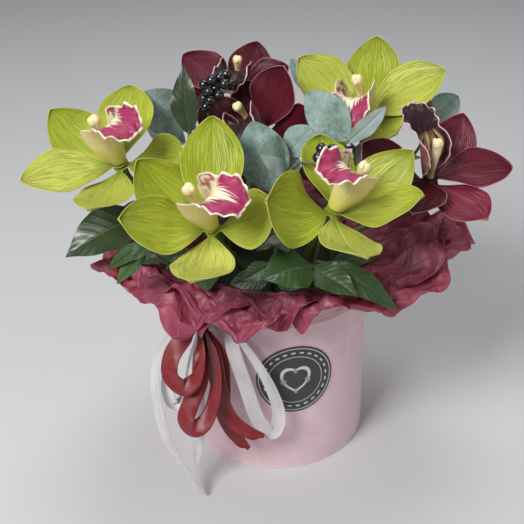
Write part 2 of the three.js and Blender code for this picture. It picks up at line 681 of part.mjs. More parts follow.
const leaf = (base, tip, width, face) => ({ base, tip, width, face });
const SPRIGS = [
  {
    name: 'eucalyptus_left', material: EUCALYPTUS, shape: ROUND_LEAF, foot: [-30, 22], top: [-51, 38, 197],
    leaves: [
      leaf([-54, 32, 206], [-81, 24, 233], 29, [-10, 35]),
      leaf([-56, 34, 196], [-80, 34, 208], 20, [-5, 50]),
    ],
  },
  {
    name: 'eucalyptus_centre', material: EUCALYPTUS, shape: ROUND_LEAF, foot: [2, -14], top: [6, -18, 203],
    leaves: [
      leaf([0, -24, 186], [-12, -13, 227], 31, [-5, 35]),
      leaf([9, -19, 204], [-8, -35, 216], 24, [5, 35]),
      leaf([8, -14, 205], [24, -6, 220], 20, [15, 40]),
      leaf([7, -20, 191], [9, -10, 208], 17, [15, 35]),
    ],
  },
  {
    name: 'eucalyptus_right', material: EUCALYPTUS, shape: ROUND_LEAF, foot: [26, -8], top: [50, 0, 204],
    leaves: [
      leaf([45, -12, 213], [21, -1, 240], 25, [-10, 35]),
      leaf([43, -19, 214], [65, -22, 237], 12, [30, 20]),
      leaf([50, 0, 190], [57, 8, 204], 10, [30, 25]),
    ],
  },
  {
    name: 'eucalyptus_far', material: EUCALYPTUS, shape: ROUND_LEAF, foot: [38, 24], top: [103, 45, 202],
    leaves: [
      leaf([104, 44, 203], [123, 50, 217], 20, [10, 30]),
      leaf([101, 44, 202], [98, 50, 221], 14, [-30, 30]),
    ],
  },
  {
    name: 'eucalyptus_back', material: EUCALYPTUS, shape: ROUND_LEAF, foot: [12, 42], top: [30, 60, 214],
    leaves: [
      leaf([29, 60, 216], [14, 66, 240], 12, [-40, 60]),
      leaf([30, 60, 218], [51, 68, 234], 7, [-50, 60]),
      leaf([30, 61, 200], [44, 92, 196], 24, [160, 50]),
      leaf([24, 58, 180], [8, 98, 176], 26, [190, 50]),
    ],
  },
  {
    name: 'dark_leaves_left', material: DARK_LEAF, shape: POINTED_LEAF, foot: [-44, -14],
    top: [-66, -18, 166],
    leaves: [
      leaf([-80, -20, 171], [-126, -40, 154], 34, [-15, 55]),
      leaf([-70, -8, 158], [-112, 14, 152], 30, [-90, 55]),
      leaf([-54, -22, 144], [-84, -40, 148], 20, [-40, 60]),
    ],
  },
  {
    name: 'dark_leaves_front', material: DARK_LEAF, shape: POINTED_LEAF, foot: [30, -22], top: [24, -56, 154],
    leaves: [
      leaf([20, -66, 158], [-9, -84, 161], 28, [0, 55]),
      leaf([19, -64, 156], [45, -84, 148], 19, [15, 50]),
      leaf([27, -60, 157], [69, -82, 136], 17, [20, 50]),
      leaf([34, -30, 137], [62, -34, 145], 20, [60, 60]),
      leaf([30, -38, 138], [36, -66, 141], 18, [10, 60]),
    ],
  },
  {
    name: 'dark_leaf_upright', material: DARK_LEAF, shape: POINTED_LEAF, foot: [-38, 14], top: [-52, 18, 206],
    leaves: [
      leaf([-52, 18, 208], [-53, 26, 250], 18, [-15, 25]),
    ],
  },
  {
    name: 'dark_leaves_back', material: DARK_LEAF, shape: POINTED_LEAF, foot: [-22, 42], top: [-40, 62, 190],
    leaves: [
      leaf([-46, 58, 192], [-84, 66, 204], 26, [-160, 50]),
      leaf([-40, 64, 184], [-34, 104, 176], 30, [180, 50]),
      leaf([-36, 58, 166], [-66, 88, 158], 28, [210, 50]),
      leaf([-34, 58, 158], [-6, 92, 154], 28, [170, 50]),
    ],
  },
  {
    name: 'dark_leaves_right', material: DARK_LEAF, shape: POINTED_LEAF, foot: [30, 38], top: [62, 48, 170],
    leaves: [
      leaf([68, 50, 172], [108, 66, 166], 28, [120, 55]),
      leaf([60, 54, 164], [62, 98, 158], 30, [170, 55]),
      leaf([64, 40, 152], [112, 24, 152], 28, [90, 55]),
    ],
  },
  {
    name: 'small_leaves_left', material: DARK_LEAF, shape: SMALL_LEAF, foot: [-36, -22], top: [-71, -54, 169],
    leaves: [
      leaf([-72, -55, 172], [-95, -76, 165], 10, [0, 55]),
      leaf([-73, -59, 170], [-90, -80, 158], 10, [0, 55]),
      leaf([-70, -57, 173], [-81, -80, 172], 10, [0, 55]),
      leaf([-42, -32, 140], [-40, -64, 142], 18, [-20, 60]),
      leaf([-44, -30, 146], [-66, -50, 148], 16, [-50, 60]),
    ],
  },
  {
    name: 'small_leaves_front', material: DARK_LEAF, shape: SMALL_LEAF, foot: [-2, -40], top: [0, -57, 174],
    leaves: [
      leaf([0, -58, 177], [-11, -70, 171], 10, [0, 55]),
      leaf([0, -58, 177], [7, -70, 170], 10, [0, 55]),
      leaf([-3, -44, 137], [-28, -54, 140], 16, [-10, 60]),
      leaf([0, -46, 139], [18, -62, 141], 16, [10, 60]),
      leaf([-1, -51, 152], [-20, -66, 149], 13, [0, 55]),
      leaf([1, -52, 158], [20, -66, 153], 12, [10, 55]),
    ],
  },
  {
    name: 'berries_back', material: BERRY_BLACK, foot: [-33, 7], top: [-39, 19, 223],
    berries: [
      [-41, 20, 239], [-36, 16, 243], [-31, 21, 243], [-27, 24, 244], [-38, 13, 237], [-34, 18, 237],
      [-28, 14, 241], [-41, 15, 232], [-37, 11, 232], [-32, 14, 234], [-40, 14, 227], [-24, 20, 239],
    ],
  },
  {
    name: 'berries_front', material: BERRY_BLACK, foot: [12, 4], top: [9, -40, 206],
    twigs: [[24, -45, 211]],
    berries: [[27, -41, 220], [33, -40, 219], [25, -44, 216], [31, -43, 214]],
  },
];
for (const { name, material, shape, ...plan } of SPRIGS) {
  add(name, sprig(plan, shape), material);
}

// ---------------------------------------------------------------- floral foam, bored for every stem

const boreHole = ([x, y], radius) => (
  upright(radius + HOLE_CLEARANCE, FOAM_TOP - STEM_DEPTH - FIT, FOAM_TOP + 1, 6).translate(x, y, 0)
);
let foam = solidOf(upright(FOAM_RADIUS, FOAM_BOTTOM, FOAM_TOP, ROUND_SIDES));
for (const { foot } of HEADS) {
  foam = foam.subtract(solidOf(boreHole(foot, FLOWER_STEM_RADIUS)));
}
for (const { foot } of SPRIGS) {
  foam = foam.subtract(solidOf(boreHole(foot, TWIG_RADIUS)));
}
add('floral_foam', geometryOf(foam), FOAM_GREEN);

export default arrangement;
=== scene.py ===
"""A hat-box arrangement of cut cymbidium heads with foliage, berries, a tissue ruff and two ribbons.

The tables hold millimetres and degrees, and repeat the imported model's plan. Each mesh is in metres.
"""
import math

import bpy
import numpy as np
from mathutils import Matrix, Vector


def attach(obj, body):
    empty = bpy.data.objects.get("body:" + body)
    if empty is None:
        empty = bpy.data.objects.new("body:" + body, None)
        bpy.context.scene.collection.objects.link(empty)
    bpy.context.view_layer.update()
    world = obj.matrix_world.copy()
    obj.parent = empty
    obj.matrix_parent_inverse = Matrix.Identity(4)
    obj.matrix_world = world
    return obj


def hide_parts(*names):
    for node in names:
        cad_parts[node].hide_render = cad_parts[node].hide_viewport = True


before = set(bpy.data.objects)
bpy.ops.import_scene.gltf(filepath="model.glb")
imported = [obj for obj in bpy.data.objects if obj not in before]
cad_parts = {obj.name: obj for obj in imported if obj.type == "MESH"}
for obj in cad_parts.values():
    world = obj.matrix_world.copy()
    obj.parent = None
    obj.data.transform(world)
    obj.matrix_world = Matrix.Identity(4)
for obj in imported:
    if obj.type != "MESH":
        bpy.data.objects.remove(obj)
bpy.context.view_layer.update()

MM = 0.001
FULL_TURN = 6.2832
PALE_FLOOR = (0.62, 0.62, 0.63)

# ---------------------------------------------------------------- shader maths


class Value:
    """A node's socket. + - * and / on it add Math nodes."""

    def __init__(self, finish, socket):
        self.finish = finish
        self.socket = socket

    def maths(self, operation, *operands):
        return self.finish.node("ShaderNodeMath", {"operation": operation}, dict(enumerate(operands)))

    def __add__(self, other):
        return self.maths("ADD", self, other)

    def __sub__(self, other):
        return self.maths("SUBTRACT", self, other)

    def __rsub__(self, other):
        return self.maths("SUBTRACT", other, self)

    def __mul__(self, other):
        return self.maths("MULTIPLY", self, other)

    def __truediv__(self, other):
        return self.maths("DIVIDE", self, other)

    __radd__ = __add__
    __rmul__ = __mul__

    def size(self):
        return self.maths("ABSOLUTE", self)

    def wave(self):
        return self.maths("SINE", self)

    def least(self, other):
        return self.maths("MINIMUM", self, other)

    def most(self, other):
        return self.maths("MAXIMUM", self, other)

    def between(self, low, high):
        """0 below low and 1 above high, with a soft step between; low may be the larger."""
        return self.finish.node(
            "ShaderNodeMapRange",
            {"interpolation_type": "SMOOTHSTEP"},
            {"Value": self, "From Min": low, "From Max": high},
        )


class Finish:
    """A material, built on the principled shader."""

    def __init__(self, name, **constants):
        self.material = bpy.data.materials.new(name)
        self.material.use_nodes = True
        self.tree = self.material.node_tree
        self.shader = self.tree.nodes["Principled BSDF"]
        for socket, value in constants.items():
            self.shader.inputs[socket.replace("_", " ")].default_value = value

    def node(self, kind, settings, sockets, output=0):
        made = self.tree.nodes.new(kind)
        for name, value in settings.items():
            setattr(made, name, value)
        for name, value in sockets.items():
            self.feed(made.inputs[name], value)
        return Value(self, made.outputs[output])

    def feed(self, socket, value):
        if isinstance(value, Value):
            self.tree.links.new(value.socket, socket)
        elif isinstance(value, tuple) and len(value) == 3 and len(socket.default_value) == 4:
            socket.default_value = (*value, 1.0)
        else:
            socket.default_value = value

    def set(self, **sockets):
        for name, value in sockets.items():
            self.feed(self.shader.inputs[name.replace("_", " ")], value)

    def mark(self, name):
        """The three numbers of a mark that the piece carries at each point."""
        split = self.node(
            "ShaderNodeSeparateXYZ", {},
            {"Vector": self.node("ShaderNodeAttribute", {"attribute_name": name}, {}, "Vector")},
        )
        node = split.socket.node
        return [Value(self, socket) for socket in node.outputs]

    def vector(self, x, y, z):
        return self.node("ShaderNodeCombineXYZ", {}, {"X": x, "Y": y, "Z": z})

    def where(self):
        return self.node("ShaderNodeTexCoord", {}, {}, "Object")

    def noise(self, where, scale, detail=2.0, roughness=0.5):
        return self.node(
            "ShaderNodeTexNoise", {},
            {"Vector": where, "Scale": scale, "Detail": detail, "Roughness": roughness},
        )

    def cells(self, where, scale, feature="F1", output="Distance"):
        return self.node("ShaderNodeTexVoronoi", {"feature": feature}, {"Vector": where, "Scale": scale}, output)

    def mix(self, share, first, second):
        """From the first colour at 0 to the second at 1."""
        return self.node("ShaderNodeMix", {"data_type": "RGBA"}, {0: share, 6: first, 7: second}, 2)

    def bump(self, height, distance):
        """Raises the surface's shading by height times a distance in metres."""
        self.set(Normal=self.node("ShaderNodeBump", {}, {"Height": height, "Distance": distance}))


# ---------------------------------------------------------------- shapes worked out with numpy


def unit(vectors):
    vectors = np.asarray(vectors, float)
    return vectors / np.linalg.norm(vectors, axis=-1, keepdims=True)


def facing(turn, rise):
    """A direction turned about +Z from the front (-Y) towards +X and raised above level, in degrees."""
    turn, rise = np.radians(turn), np.radians(rise)
    return np.array([np.sin(turn) * np.cos(rise), -np.cos(turn) * np.cos(rise), np.sin(rise)])


def grid(columns, rows):
    """u from 0 to 1 down the columns and t from -1 to 1 across the rows, both closer at their ends."""
    u = 0.5 - 0.5 * np.cos(np.pi * np.linspace(0, 1, columns + 1))
    t = np.sin(0.5 * np.pi * np.linspace(-1, 1, rows + 1))
    return np.meshgrid(u, t, indexing="ij")


def step(value, low, high):
    """0 below low, 1 above high and a smooth rise between; low may be the larger."""
    part = np.clip((value - low) / (high - low), 0, 1)
    return part * part * (3 - 2 * part)


def eased(stops, s):
    """Values between given stops [place, ...values], rounded off by a running mean along s."""
    stops = np.asarray(stops, float)
    fine = np.linspace(-0.1, 1.1, 481)
    kernel = np.hanning(37) / np.hanning(37).sum()
    columns = []
    for values in stops.T[1:]:
        line = np.interp(fine, stops[:, 0], values)
        padded = np.pad(line, 18, mode="edge")
        columns.append(np.interp(s, fine, np.convolve(padded, kernel, "valid")))
    return columns


def spline(points, count):
    """Evenly counted points on a smooth curve through given ones: between two of them a cubic whose
    slope at each is half the way from the one before to the one after."""
    points = np.asarray(points, float)
    ends = np.vstack([2 * points[0] - points[1], points, 2 * points[-1] - points[-2]])
    knots = np.cumsum([0, *np.linalg.norm(np.diff(ends, axis=0), axis=1) ** 0.5])
    slopes = (ends[2:] - ends[:-2]) / (knots[2:] - knots[:-2])[:, None]
    inner = knots[1:-1]
    at = np.linspace(inner[0], inner[-1], count)
    index = np.clip(np.searchsorted(inner, at, "right") - 1, 0, len(points) - 2)
    span = (inner[index + 1] - inner[index])[:, None]
    part = (at - inner[index])[:, None] / span
    return (
        (2 * part**3 - 3 * part**2 + 1) * points[index]
        + (part**3 - 2 * part**2 + part) * span * slopes[index]
        + (3 * part**2 - 2 * part**3) * points[index + 1]
        + (part**3 - part**2) * span * slopes[index + 1]
    )


def bezier(*corners, count=30):
    """A curve of two, three or four corners, by repeated halving between them."""
    u = np.linspace(0, 1, count)[:, None]
    level = [np.asarray(corner, float) for corner in corners]
    while len(level) > 1:
        level = [a * (1 - u) + b * u for a, b in zip(level, level[1:])]
    return level[0]


def outline(s, widest, fullness):
    """A blade's width at s along it, as a share of its full width, which it reaches at widest."""
    power = math.log(0.5) / math.log(widest)
    return np.sin(np.pi * np.clip(s, 0, 1) ** power) ** fullness


def marks(along, across, edge, seed=0.0, tone=0.0):
    """The marks of a grid: place is (along, across, millimetres from the edge); kind is (seed, front, tone),
    whose front is set where the body is closed."""
    place = np.stack(np.broadcast_arrays(along, across, edge), -1).astype(float)
    kind = np.stack(np.broadcast_arrays(seed + 0 * place[..., 0], 1.0, tone), -1).astype(float)
    return place, kind


def skin(middle, thickness, place, kind, ring=False):
    """A thin closed body: each point of a grid moves half the thickness to the front and to the back
    along the grid's normal, and strips close its edges. A ring closes on itself down its columns."""
    columns, rows = middle.shape[:2]
    down = np.roll(middle, -1, 0) - np.roll(middle, 1, 0) if ring else np.gradient(middle, axis=0)
    normal = unit(np.cross(down, np.gradient(middle, axis=1)))
    half = 0.5 * np.broadcast_to(thickness, (columns, rows))[..., None]
    points = np.concatenate([(middle + normal * half).reshape(-1, 3), (middle - normal * half).reshape(-1, 3)])
    count = columns * rows
    index = np.arange(count).reshape(columns, rows)
    if ring:
        index = np.vstack([index, index[:1]])
    front = np.stack([index[:-1, :-1], index[1:, :-1], index[1:, 1:], index[:-1, 1:]], -1).reshape(-1, 4)
    edges = [index[:, 0], index[::-1, -1]]
    if not ring:
        edges += [index[0, ::-1], index[-1]]
    strips = [np.stack([e[:-1], e[:-1] + count, e[1:] + count, e[1:]], -1) for e in edges]
    back = kind.reshape(-1, 3).copy()
    back[:, 1] = 0
    return (
        points,
        [np.concatenate([front, front[:, ::-1] + count, *strips])],
        np.tile(place.reshape(-1, 3), (2, 1)),
        np.concatenate([kind.reshape(-1, 3), back]),
    )


def carried(rings, place, kind):
    """A closed body through rings of points that turn anticlockwise about its path, with an end face each."""
    count, sides = rings.shape[:2]
    index = np.arange(count * sides).reshape(count, sides)
    turn = np.hstack([index, index[:, :1]])
    walls = np.stack([turn[:-1, :-1], turn[:-1, 1:], turn[1:, 1:], turn[1:, :-1]], -1).reshape(-1, 4)
    faces = [walls, index[:1, ::-1], index[-1:]]
    return rings.reshape(-1, 3), faces, place.reshape(-1, 3), kind.reshape(-1, 3)


def tube(path, radii, sides=12, seed=0.0, tone=0.0, flat=1.0):
    """A round bar: a circle about each point of a path, square to it. flat narrows it along its lift."""
    tangent = unit(np.gradient(path, axis=0))
    reference = np.eye(3)[np.argmin(np.abs(path[-1] - path[0]))]
    side = unit(np.cross(tangent, reference))
    lift = np.cross(tangent, side)
    angle = np.linspace(0, 2 * np.pi, sides, endpoint=False)
    radii = np.broadcast_to(radii, len(path))[:, None, None]
    turn = np.cos(angle)[None, :, None] * side[:, None] + flat * np.sin(angle)[None, :, None] * lift[:, None]
    along = np.linspace(0, 1, len(path))[:, None]
    return carried(path[:, None] + radii * turn, *marks(along, angle / np.pi - 1, radii[..., 0], seed, tone))


def ball(middle, radii, axes=np.eye(3), sides=20, seed=0.0, tone=0.0, ridges=0.0):
    """A round body: rings of latitude up its third axis. Ridges press shallow folds into its sides."""
    height = np.linspace(-0.5 * np.pi + 0.1, 0.5 * np.pi - 0.1, sides // 2 + 2)[:, None]
    angle = np.linspace(0, 2 * np.pi, sides, endpoint=False)[None]
    swell = 1 + ridges * np.sin(7 * angle + 3 * height) * np.cos(height)
    flat = np.stack([
        radii[0] * np.cos(height) * np.cos(angle) * swell,
        radii[1] * np.cos(height) * np.sin(angle) * swell,
        radii[2] * np.sin(height) + 0 * angle,
    ], -1)
    along = 0.5 + height / np.pi
    return carried(np.asarray(middle) + flat @ np.asarray(axes), *marks(along, angle / np.pi - 1, 9.0, seed, tone))


def lathed(profile, sides, seed=0.0):
    """A closed profile of [radius, height] carried once round +Z."""
    profile = np.asarray(profile, float)
    angle = np.linspace(0, 2 * np.pi, sides, endpoint=False)[:, None]
    radius, height = profile[:, 0][None], profile[:, 1][None]
    points = np.stack([radius * np.cos(angle), radius * np.sin(angle), height + 0 * angle], -1)
    index = np.arange(points.shape[0] * points.shape[1]).reshape(points.shape[:2])
    index = np.vstack([index, index[:1]])
    index = np.hstack([index, index[:, :1]])
    faces = np.stack([index[:-1, :-1], index[1:, :-1], index[1:, 1:], index[:-1, 1:]], -1).reshape(-1, 4)
    place, kind = marks(angle / np.pi, height, radius, seed)
    return points.reshape(-1, 3), [faces], place.reshape(-1, 3), kind.reshape(-1, 3)


def joined(shapes):
    """Several bodies as one, each keeping its own faces and marks."""
    starts = np.cumsum([0, *[len(shape[0]) for shape in shapes]])
    faces = [group + start for shape, start in zip(shapes, starts) for group in shape[1]]
    return (
        np.concatenate([shape[0] for shape in shapes]),
        faces,
        np.concatenate([shape[2] for shape in shapes]),
        np.concatenate([shape[3] for shape in shapes]),
    )


def piece(name, shape, finish, slot, *nodes):
    """Makes a mesh of a body in millimetres, which stands for the solids named."""
    points, faces, place, kind = shape
    mesh = bpy.data.meshes.new(name)
    corners = np.concatenate([group.ravel() for group in faces]).astype(np.int32)
    sizes = np.concatenate([np.full(len(group), group.shape[1]) for group in faces])
    mesh.vertices.add(len(points))
    mesh.vertices.foreach_set("co", (points * MM).astype(np.float32).ravel())
    mesh.loops.add(len(corners))
    mesh.loops.foreach_set("vertex_index", corners)
    mesh.polygons.add(len(sizes))
    mesh.polygons.foreach_set("loop_start", np.concatenate([[0], np.cumsum(sizes)[:-1]]).astype(np.int32))
    mesh.polygons.foreach_set("use_smooth", np.ones(len(sizes), bool))
    for label, values in (("place", place), ("kind", kind)):
        mesh.attributes.new(label, "FLOAT_VECTOR", "POINT").data.foreach_set(
            "vector", values.astype(np.float32).ravel())
    mesh.update(calc_edges=True)
    mesh.materials.append(finish.material)
    made = bpy.data.objects.new(name, mesh)
    bpy.context.scene.collection.objects.link(made)
    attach(made, "root")
    if nodes:
        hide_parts(*nodes)
    return made


# ---------------------------------------------------------------- camera, light and floor

CAMERA_LENS = 61.83
CAMERA_PLACE = (-0.0082, -0.5141, 0.4150)
CAMERA_RIGHT, CAMERA_UP, CAMERA_BACK = (0.9997, -0.0127, -0.0225), (0.0258, 0.4918, 0.8703), (0.0, -0.8706, 0.4920)

scene = bpy.context.scene
scene.view_settings.view_transform = "Standard"
camera_data = bpy.data.cameras.new("camera")
camera_data.sensor_width = 36
camera_data.lens = CAMERA_LENS
camera_data.clip_start = 0.05
camera = bpy.data.objects.new("camera", camera_data)
camera.matrix_world = Matrix((
    *((*row, place) for row, place in zip(zip(CAMERA_RIGHT, CAMERA_UP, CAMERA_BACK), CAMERA_PLACE)),
    (0, 0, 0, 1),
))
scene.collection.objects.link(camera)
scene.camera = camera


def soft_light(name, place, target, size, power):
    lamp = bpy.data.lights.new(name, "AREA")
    lamp.size = size
    lamp.energy = power
    made = bpy.data.objects.new(name, lamp)
    made.location = place
    made.rotation_euler = (Vector(target) - Vector(place)).to_track_quat("-Z", "Y").to_euler()
    scene.collection.objects.link(made)


soft_light("key_light", (-0.75, -0.95, 1.25), (0, 0, 0.15), 0.6, 25.0)
soft_light("fill_light", (1.3, -0.7, 0.7), (0, 0, 0.12), 1.2, 4.0)
soft_light("top_light", (0.1, 0.5, 1.5), (0, 0, 0.15), 0.8, 8.0)
world = bpy.data.worlds.new("studio")
world.use_nodes = True
world.node_tree.nodes["Background"].inputs["Color"].default_value = (0.80, 0.83, 0.86, 1)
world.node_tree.nodes["Background"].inputs["Strength"].default_value = 0.2
scene.world = world

floor_finish = Finish("pale_floor", Roughness=0.6)
floor_finish.set(Base_Color=PALE_FLOOR)
floor_mesh = bpy.data.meshes.new("floor")
floor_mesh.from_pydata([(-6, -6, 0), (6, -6, 0), (6, 6, 0), (-6, 6, 0)], [], [(0, 1, 2, 3)])
floor_mesh.materials.append(floor_finish.material)
floor = bpy.data.objects.new("floor", floor_mesh)
scene.collection.objects.link(floor)

# ---------------------------------------------------------------- finishes


def pink_card():
    """Pale pink satin paper: a faint fibre mottle, and a little wear towards the foot and the rim."""
    finish = Finish("pink_card", Roughness=0.42, Coat_Weight=0.12, Coat_Roughness=0.45)
    where = finish.where()
    mottle = finish.noise(where, 90, 4, 0.6)
    cloud = finish.noise(where, 14, 2)
    _, height, _ = finish.mark("place")
    wear = (height.between(5, 0) + height.between(127.5, 130)) * 0.5
    colour = finish.mix(mottle.between(0.35, 0.7), (0.74, 0.52, 0.565), (0.80, 0.58, 0.62))
    colour = finish.mix(cloud.between(0.4, 0.7) * 0.35, colour, (0.83, 0.64, 0.67))
    colour = finish.mix(wear * (0.4 + mottle), colour, (0.86, 0.72, 0.73))
    finish.set(Base_Color=colour, Roughness=0.38 + 0.12 * mottle)
    finish.bump(finish.noise(where, 900, 3), 0.00006)
    return finish


def plain_card():
    """Uncoated board: grey-pink, with visible fibres."""
    finish = Finish("plain_card", Roughness=0.85)
    where = finish.where()
    fibre = finish.noise(where, 400, 5, 0.7)
    finish.set(Base_Color=finish.mix(fibre, (0.52, 0.38, 0.38), (0.7, 0.55, 0.54)))
    finish.bump(fibre, 0.00015)
    return finish


def liner_film():
    """Clouded plastic with faint handling creases."""
    finish = Finish("liner_film", Roughness=0.3)
    where = finish.where()
    crease = finish.cells(where, 40, "DISTANCE_TO_EDGE")
    finish.set(Base_Color=finish.mix(crease.between(0, 0.06), (0.85, 0.87, 0.87), (0.6, 0.64, 0.63)))
    finish.bump(crease.between(0, 0.08), 0.0002)
    return finish


def wet_foam():
    """Soaked floral foam: dark green, set near black as painted shade, with open pores and pressed hollows painted
    darker still as shade.
    """
    finish = Finish("wet_foam", Roughness=0.9)
    where = finish.where()
    pores = finish.cells(where, 900)
    hollows = finish.noise(where, 60, 3)
    # Painted shade: the foam's greens are near black, and its pores and hollows are darker still.
    colour = finish.mix(pores.between(0.1, 0.6), (0.003, 0.010, 0.004), (0.012, 0.036, 0.014))
    finish.set(Base_Color=finish.mix(hollows.between(0.55, 0.4), colour, (0.004, 0.014, 0.006)))
    finish.bump(pores + hollows, 0.0008)
    return finish


def charcoal_label():
    """Charcoal paper with a pale print: two rings, a circle of dashes and a plain heart."""
    finish = Finish("charcoal_label", Roughness=0.55, Coat_Weight=0.1)
    across, up, radius = finish.mark("place")

    def ring(middle, half):
        return (radius - middle).size().between(half + 0.12, half)

    turn = up.maths("ARCTAN2", up, across)
    dashes = ring(20.4, 0.5) * (turn * 24).wave().between(-0.1, 0.1)

    def heart(size):
        x, y = across / size, (up + 1.0) / size
        square = x * x + y * y - 1
        return (square * square * square - x * x * y * y * y).between(0.03, -0.03)

    ink = ring(23.4, 0.22).most(ring(17.4, 0.16)).most(dashes).most(heart(8.6) - heart(6.9))
    grain = finish.noise(finish.where(), 500, 3)
    paper = finish.mix(grain, (0.030, 0.030, 0.033), (0.055, 0.055, 0.060))
    finish.set(Base_Color=finish.mix(ink * 0.92, paper, (0.66, 0.65, 0.66)), Roughness=0.45 + 0.2 * grain)
    finish.bump(grain - ink * 0.5, 0.00005)
    return finish


def satin(name, shade, light, weight):
    """Woven satin: long glossy floats across a fine weave, painted lighter as sheen, with painted shade in its folds
    and darker along its edges.
    """
    finish = Finish(name, Roughness=0.26, Specular_IOR_Level=0.75, Anisotropic=0.6)
    along, across, edge = finish.mark("place")
    seed, _, _ = finish.mark("kind")
    floats = finish.noise(finish.vector(along * weight, across * 120, seed * 9), 1.0, 3, 0.6)
    folds = finish.noise(finish.vector(along * weight * 0.05, across * 1.5, seed * 5), 1.0, 2)
    # Painted sheen: the raised floats are coloured towards light.
    colour = finish.mix(floats.between(0.3, 0.75), shade, light)
    # Painted shade: the folds are coloured towards shade.
    colour = finish.mix(folds.between(0.6, 0.35) * 0.45, colour, shade)
    colour = finish.mix(edge.between(0.5, 0.2) * 0.5, colour, shade)
    finish.set(Base_Color=colour, Roughness=0.24 + 0.16 * floats)
    finish.bump(floats + edge.between(0.25, 0.55), 0.00008)
    return finish


def organza():
    """Sheer white organza with a dense selvage, greyed in places as painted shade; the satin lengths, marked by
    tone, are opaque.
    """
    finish = Finish("white_organza", Roughness=0.34, Sheen_Weight=0.4, Specular_IOR_Level=0.6)
    along, across, edge = finish.mark("place")
    seed, _, tone = finish.mark("kind")
    warp = (across * 170).wave() * 0.5 + 0.5
    weft = (along * 900).wave() * 0.5 + 0.5
    folds = finish.noise(finish.vector(along * 4, across * 0.6, seed * 5), 1.0, 2)
    selvage = edge.between(0.85, 0.45)
    cover = (0.50 + 0.16 * folds + 0.10 * warp.most(weft)).most(selvage * 0.8).most(tone)
    # Painted shade: where the folds are low the white is greyed.
    colour = finish.mix(folds.between(0.3, 0.7), (0.74, 0.70, 0.72), (0.88, 0.86, 0.87))
    finish.set(Base_Color=colour, Alpha=cover.least(1.0), Roughness=0.26 + 0.2 * folds)
    finish.bump(warp + weft, 0.00006)
    return finish


def wine_tissue():
    """Waxed tissue: wine, painted lighter as highlights on raised facets, along creases and along broken creases,
    lighter at its free edge, with a soft gloss.
    """
    finish = Finish("wine_tissue", Roughness=0.4, Specular_IOR_Level=0.5, Coat_Weight=0.04,
                    Coat_Roughness=0.35, Subsurface_Weight=0.1, Subsurface_Scale=0.004)
    where = finish.where()
    _, _, edge = finish.mark("place")
    _, _, crease = finish.mark("kind")
    cloud = finish.noise(where, 26, 3)
    fibre = finish.noise(where, 420, 3, 0.6)
    facets = finish.cells(where, 62, output="Color")
    lit_crack_lines = finish.cells(where, 62, "DISTANCE_TO_EDGE").between(0.05, 0.0)
    colour = finish.mix(cloud.between(0.35, 0.68), (0.150, 0.011, 0.032), (0.250, 0.026, 0.064))
    # Painted highlights: raised facets, crease ridges and broken crease lines are coloured lighter.
    colour = finish.mix(facets * 0.5, colour, (0.36, 0.062, 0.115))
    colour = finish.mix(crease * (0.15 + 0.5 * cloud), colour, (0.50, 0.13, 0.19))
    colour = finish.mix(lit_crack_lines * cloud * 0.45, colour, (0.46, 0.11, 0.17))
    colour = finish.mix(edge.between(0.7, 0.1) * 0.5, colour, (0.48, 0.13, 0.19))
    finish.set(Base_Color=colour, Roughness=0.37 + 0.18 * cloud + 0.08 * fibre)
    finish.bump(facets * 0.5 + lit_crack_lines * 0.35 + fibre * 0.05, 0.0006)
    return finish


def tepal_skin(name, deep, body, pale, light, margin, margin_width, vein_strength):
    """A waxy petal: veins run from base to tip and draw together at both, a midrib darkens the middle,
    the base is deeper, the margin is paler, and tone lightens a whole tepal as a painted highlight."""
    finish = Finish(name, Roughness=0.45, Specular_IOR_Level=0.28,
                    Subsurface_Weight=0.1, Subsurface_Scale=0.002)
    along, across, edge = finish.mark("place")
    seed, front, tone = finish.mark("kind")
    drift = finish.noise(finish.vector(along * 3, across * 2, seed * 11), 1.0, 2) - 0.5
    lines = ((across * 30 + drift * 9 + seed * 5).wave().size()).between(0.32, 0.02)
    forks = (finish.noise(finish.vector(along * 2.4 + seed, across * 20 + drift * 4, seed * 7), 1.0, 3) - 0.5)
    forks = forks.size().between(0.045, 0.0)
    midrib = (across * across.size() + across).size().between(0.07, 0.0)
    veins = (lines * 0.6).most(forks * 0.8).most(midrib)
    cloud = finish.noise(finish.where(), 55, 3)
    cells = finish.noise(finish.where(), 1500, 2)
    colour = finish.mix(cloud.between(0.35, 0.65), body, pale)
    # Painted highlight: tone moves a whole tepal towards the light colour.
    colour = finish.mix(tone, colour, light)
    colour = finish.mix(along.between(0.32, 0.0) * 0.55, colour, deep)
    colour = finish.mix(veins * vein_strength * (0.5 + 0.5 * front), colour, deep)
    colour = finish.mix(edge.between(margin_width, 0.4 * margin_width) * 0.9, colour, margin)
    colour = finish.mix((1 - front) * 0.25, colour, pale)
    finish.set(Base_Color=colour, Roughness=0.34 + 0.14 * cloud + 0.06 * veins)
    finish.bump(cells * 0.12 - veins * 0.7 + cloud * 0.4, 0.00035)
    return finish


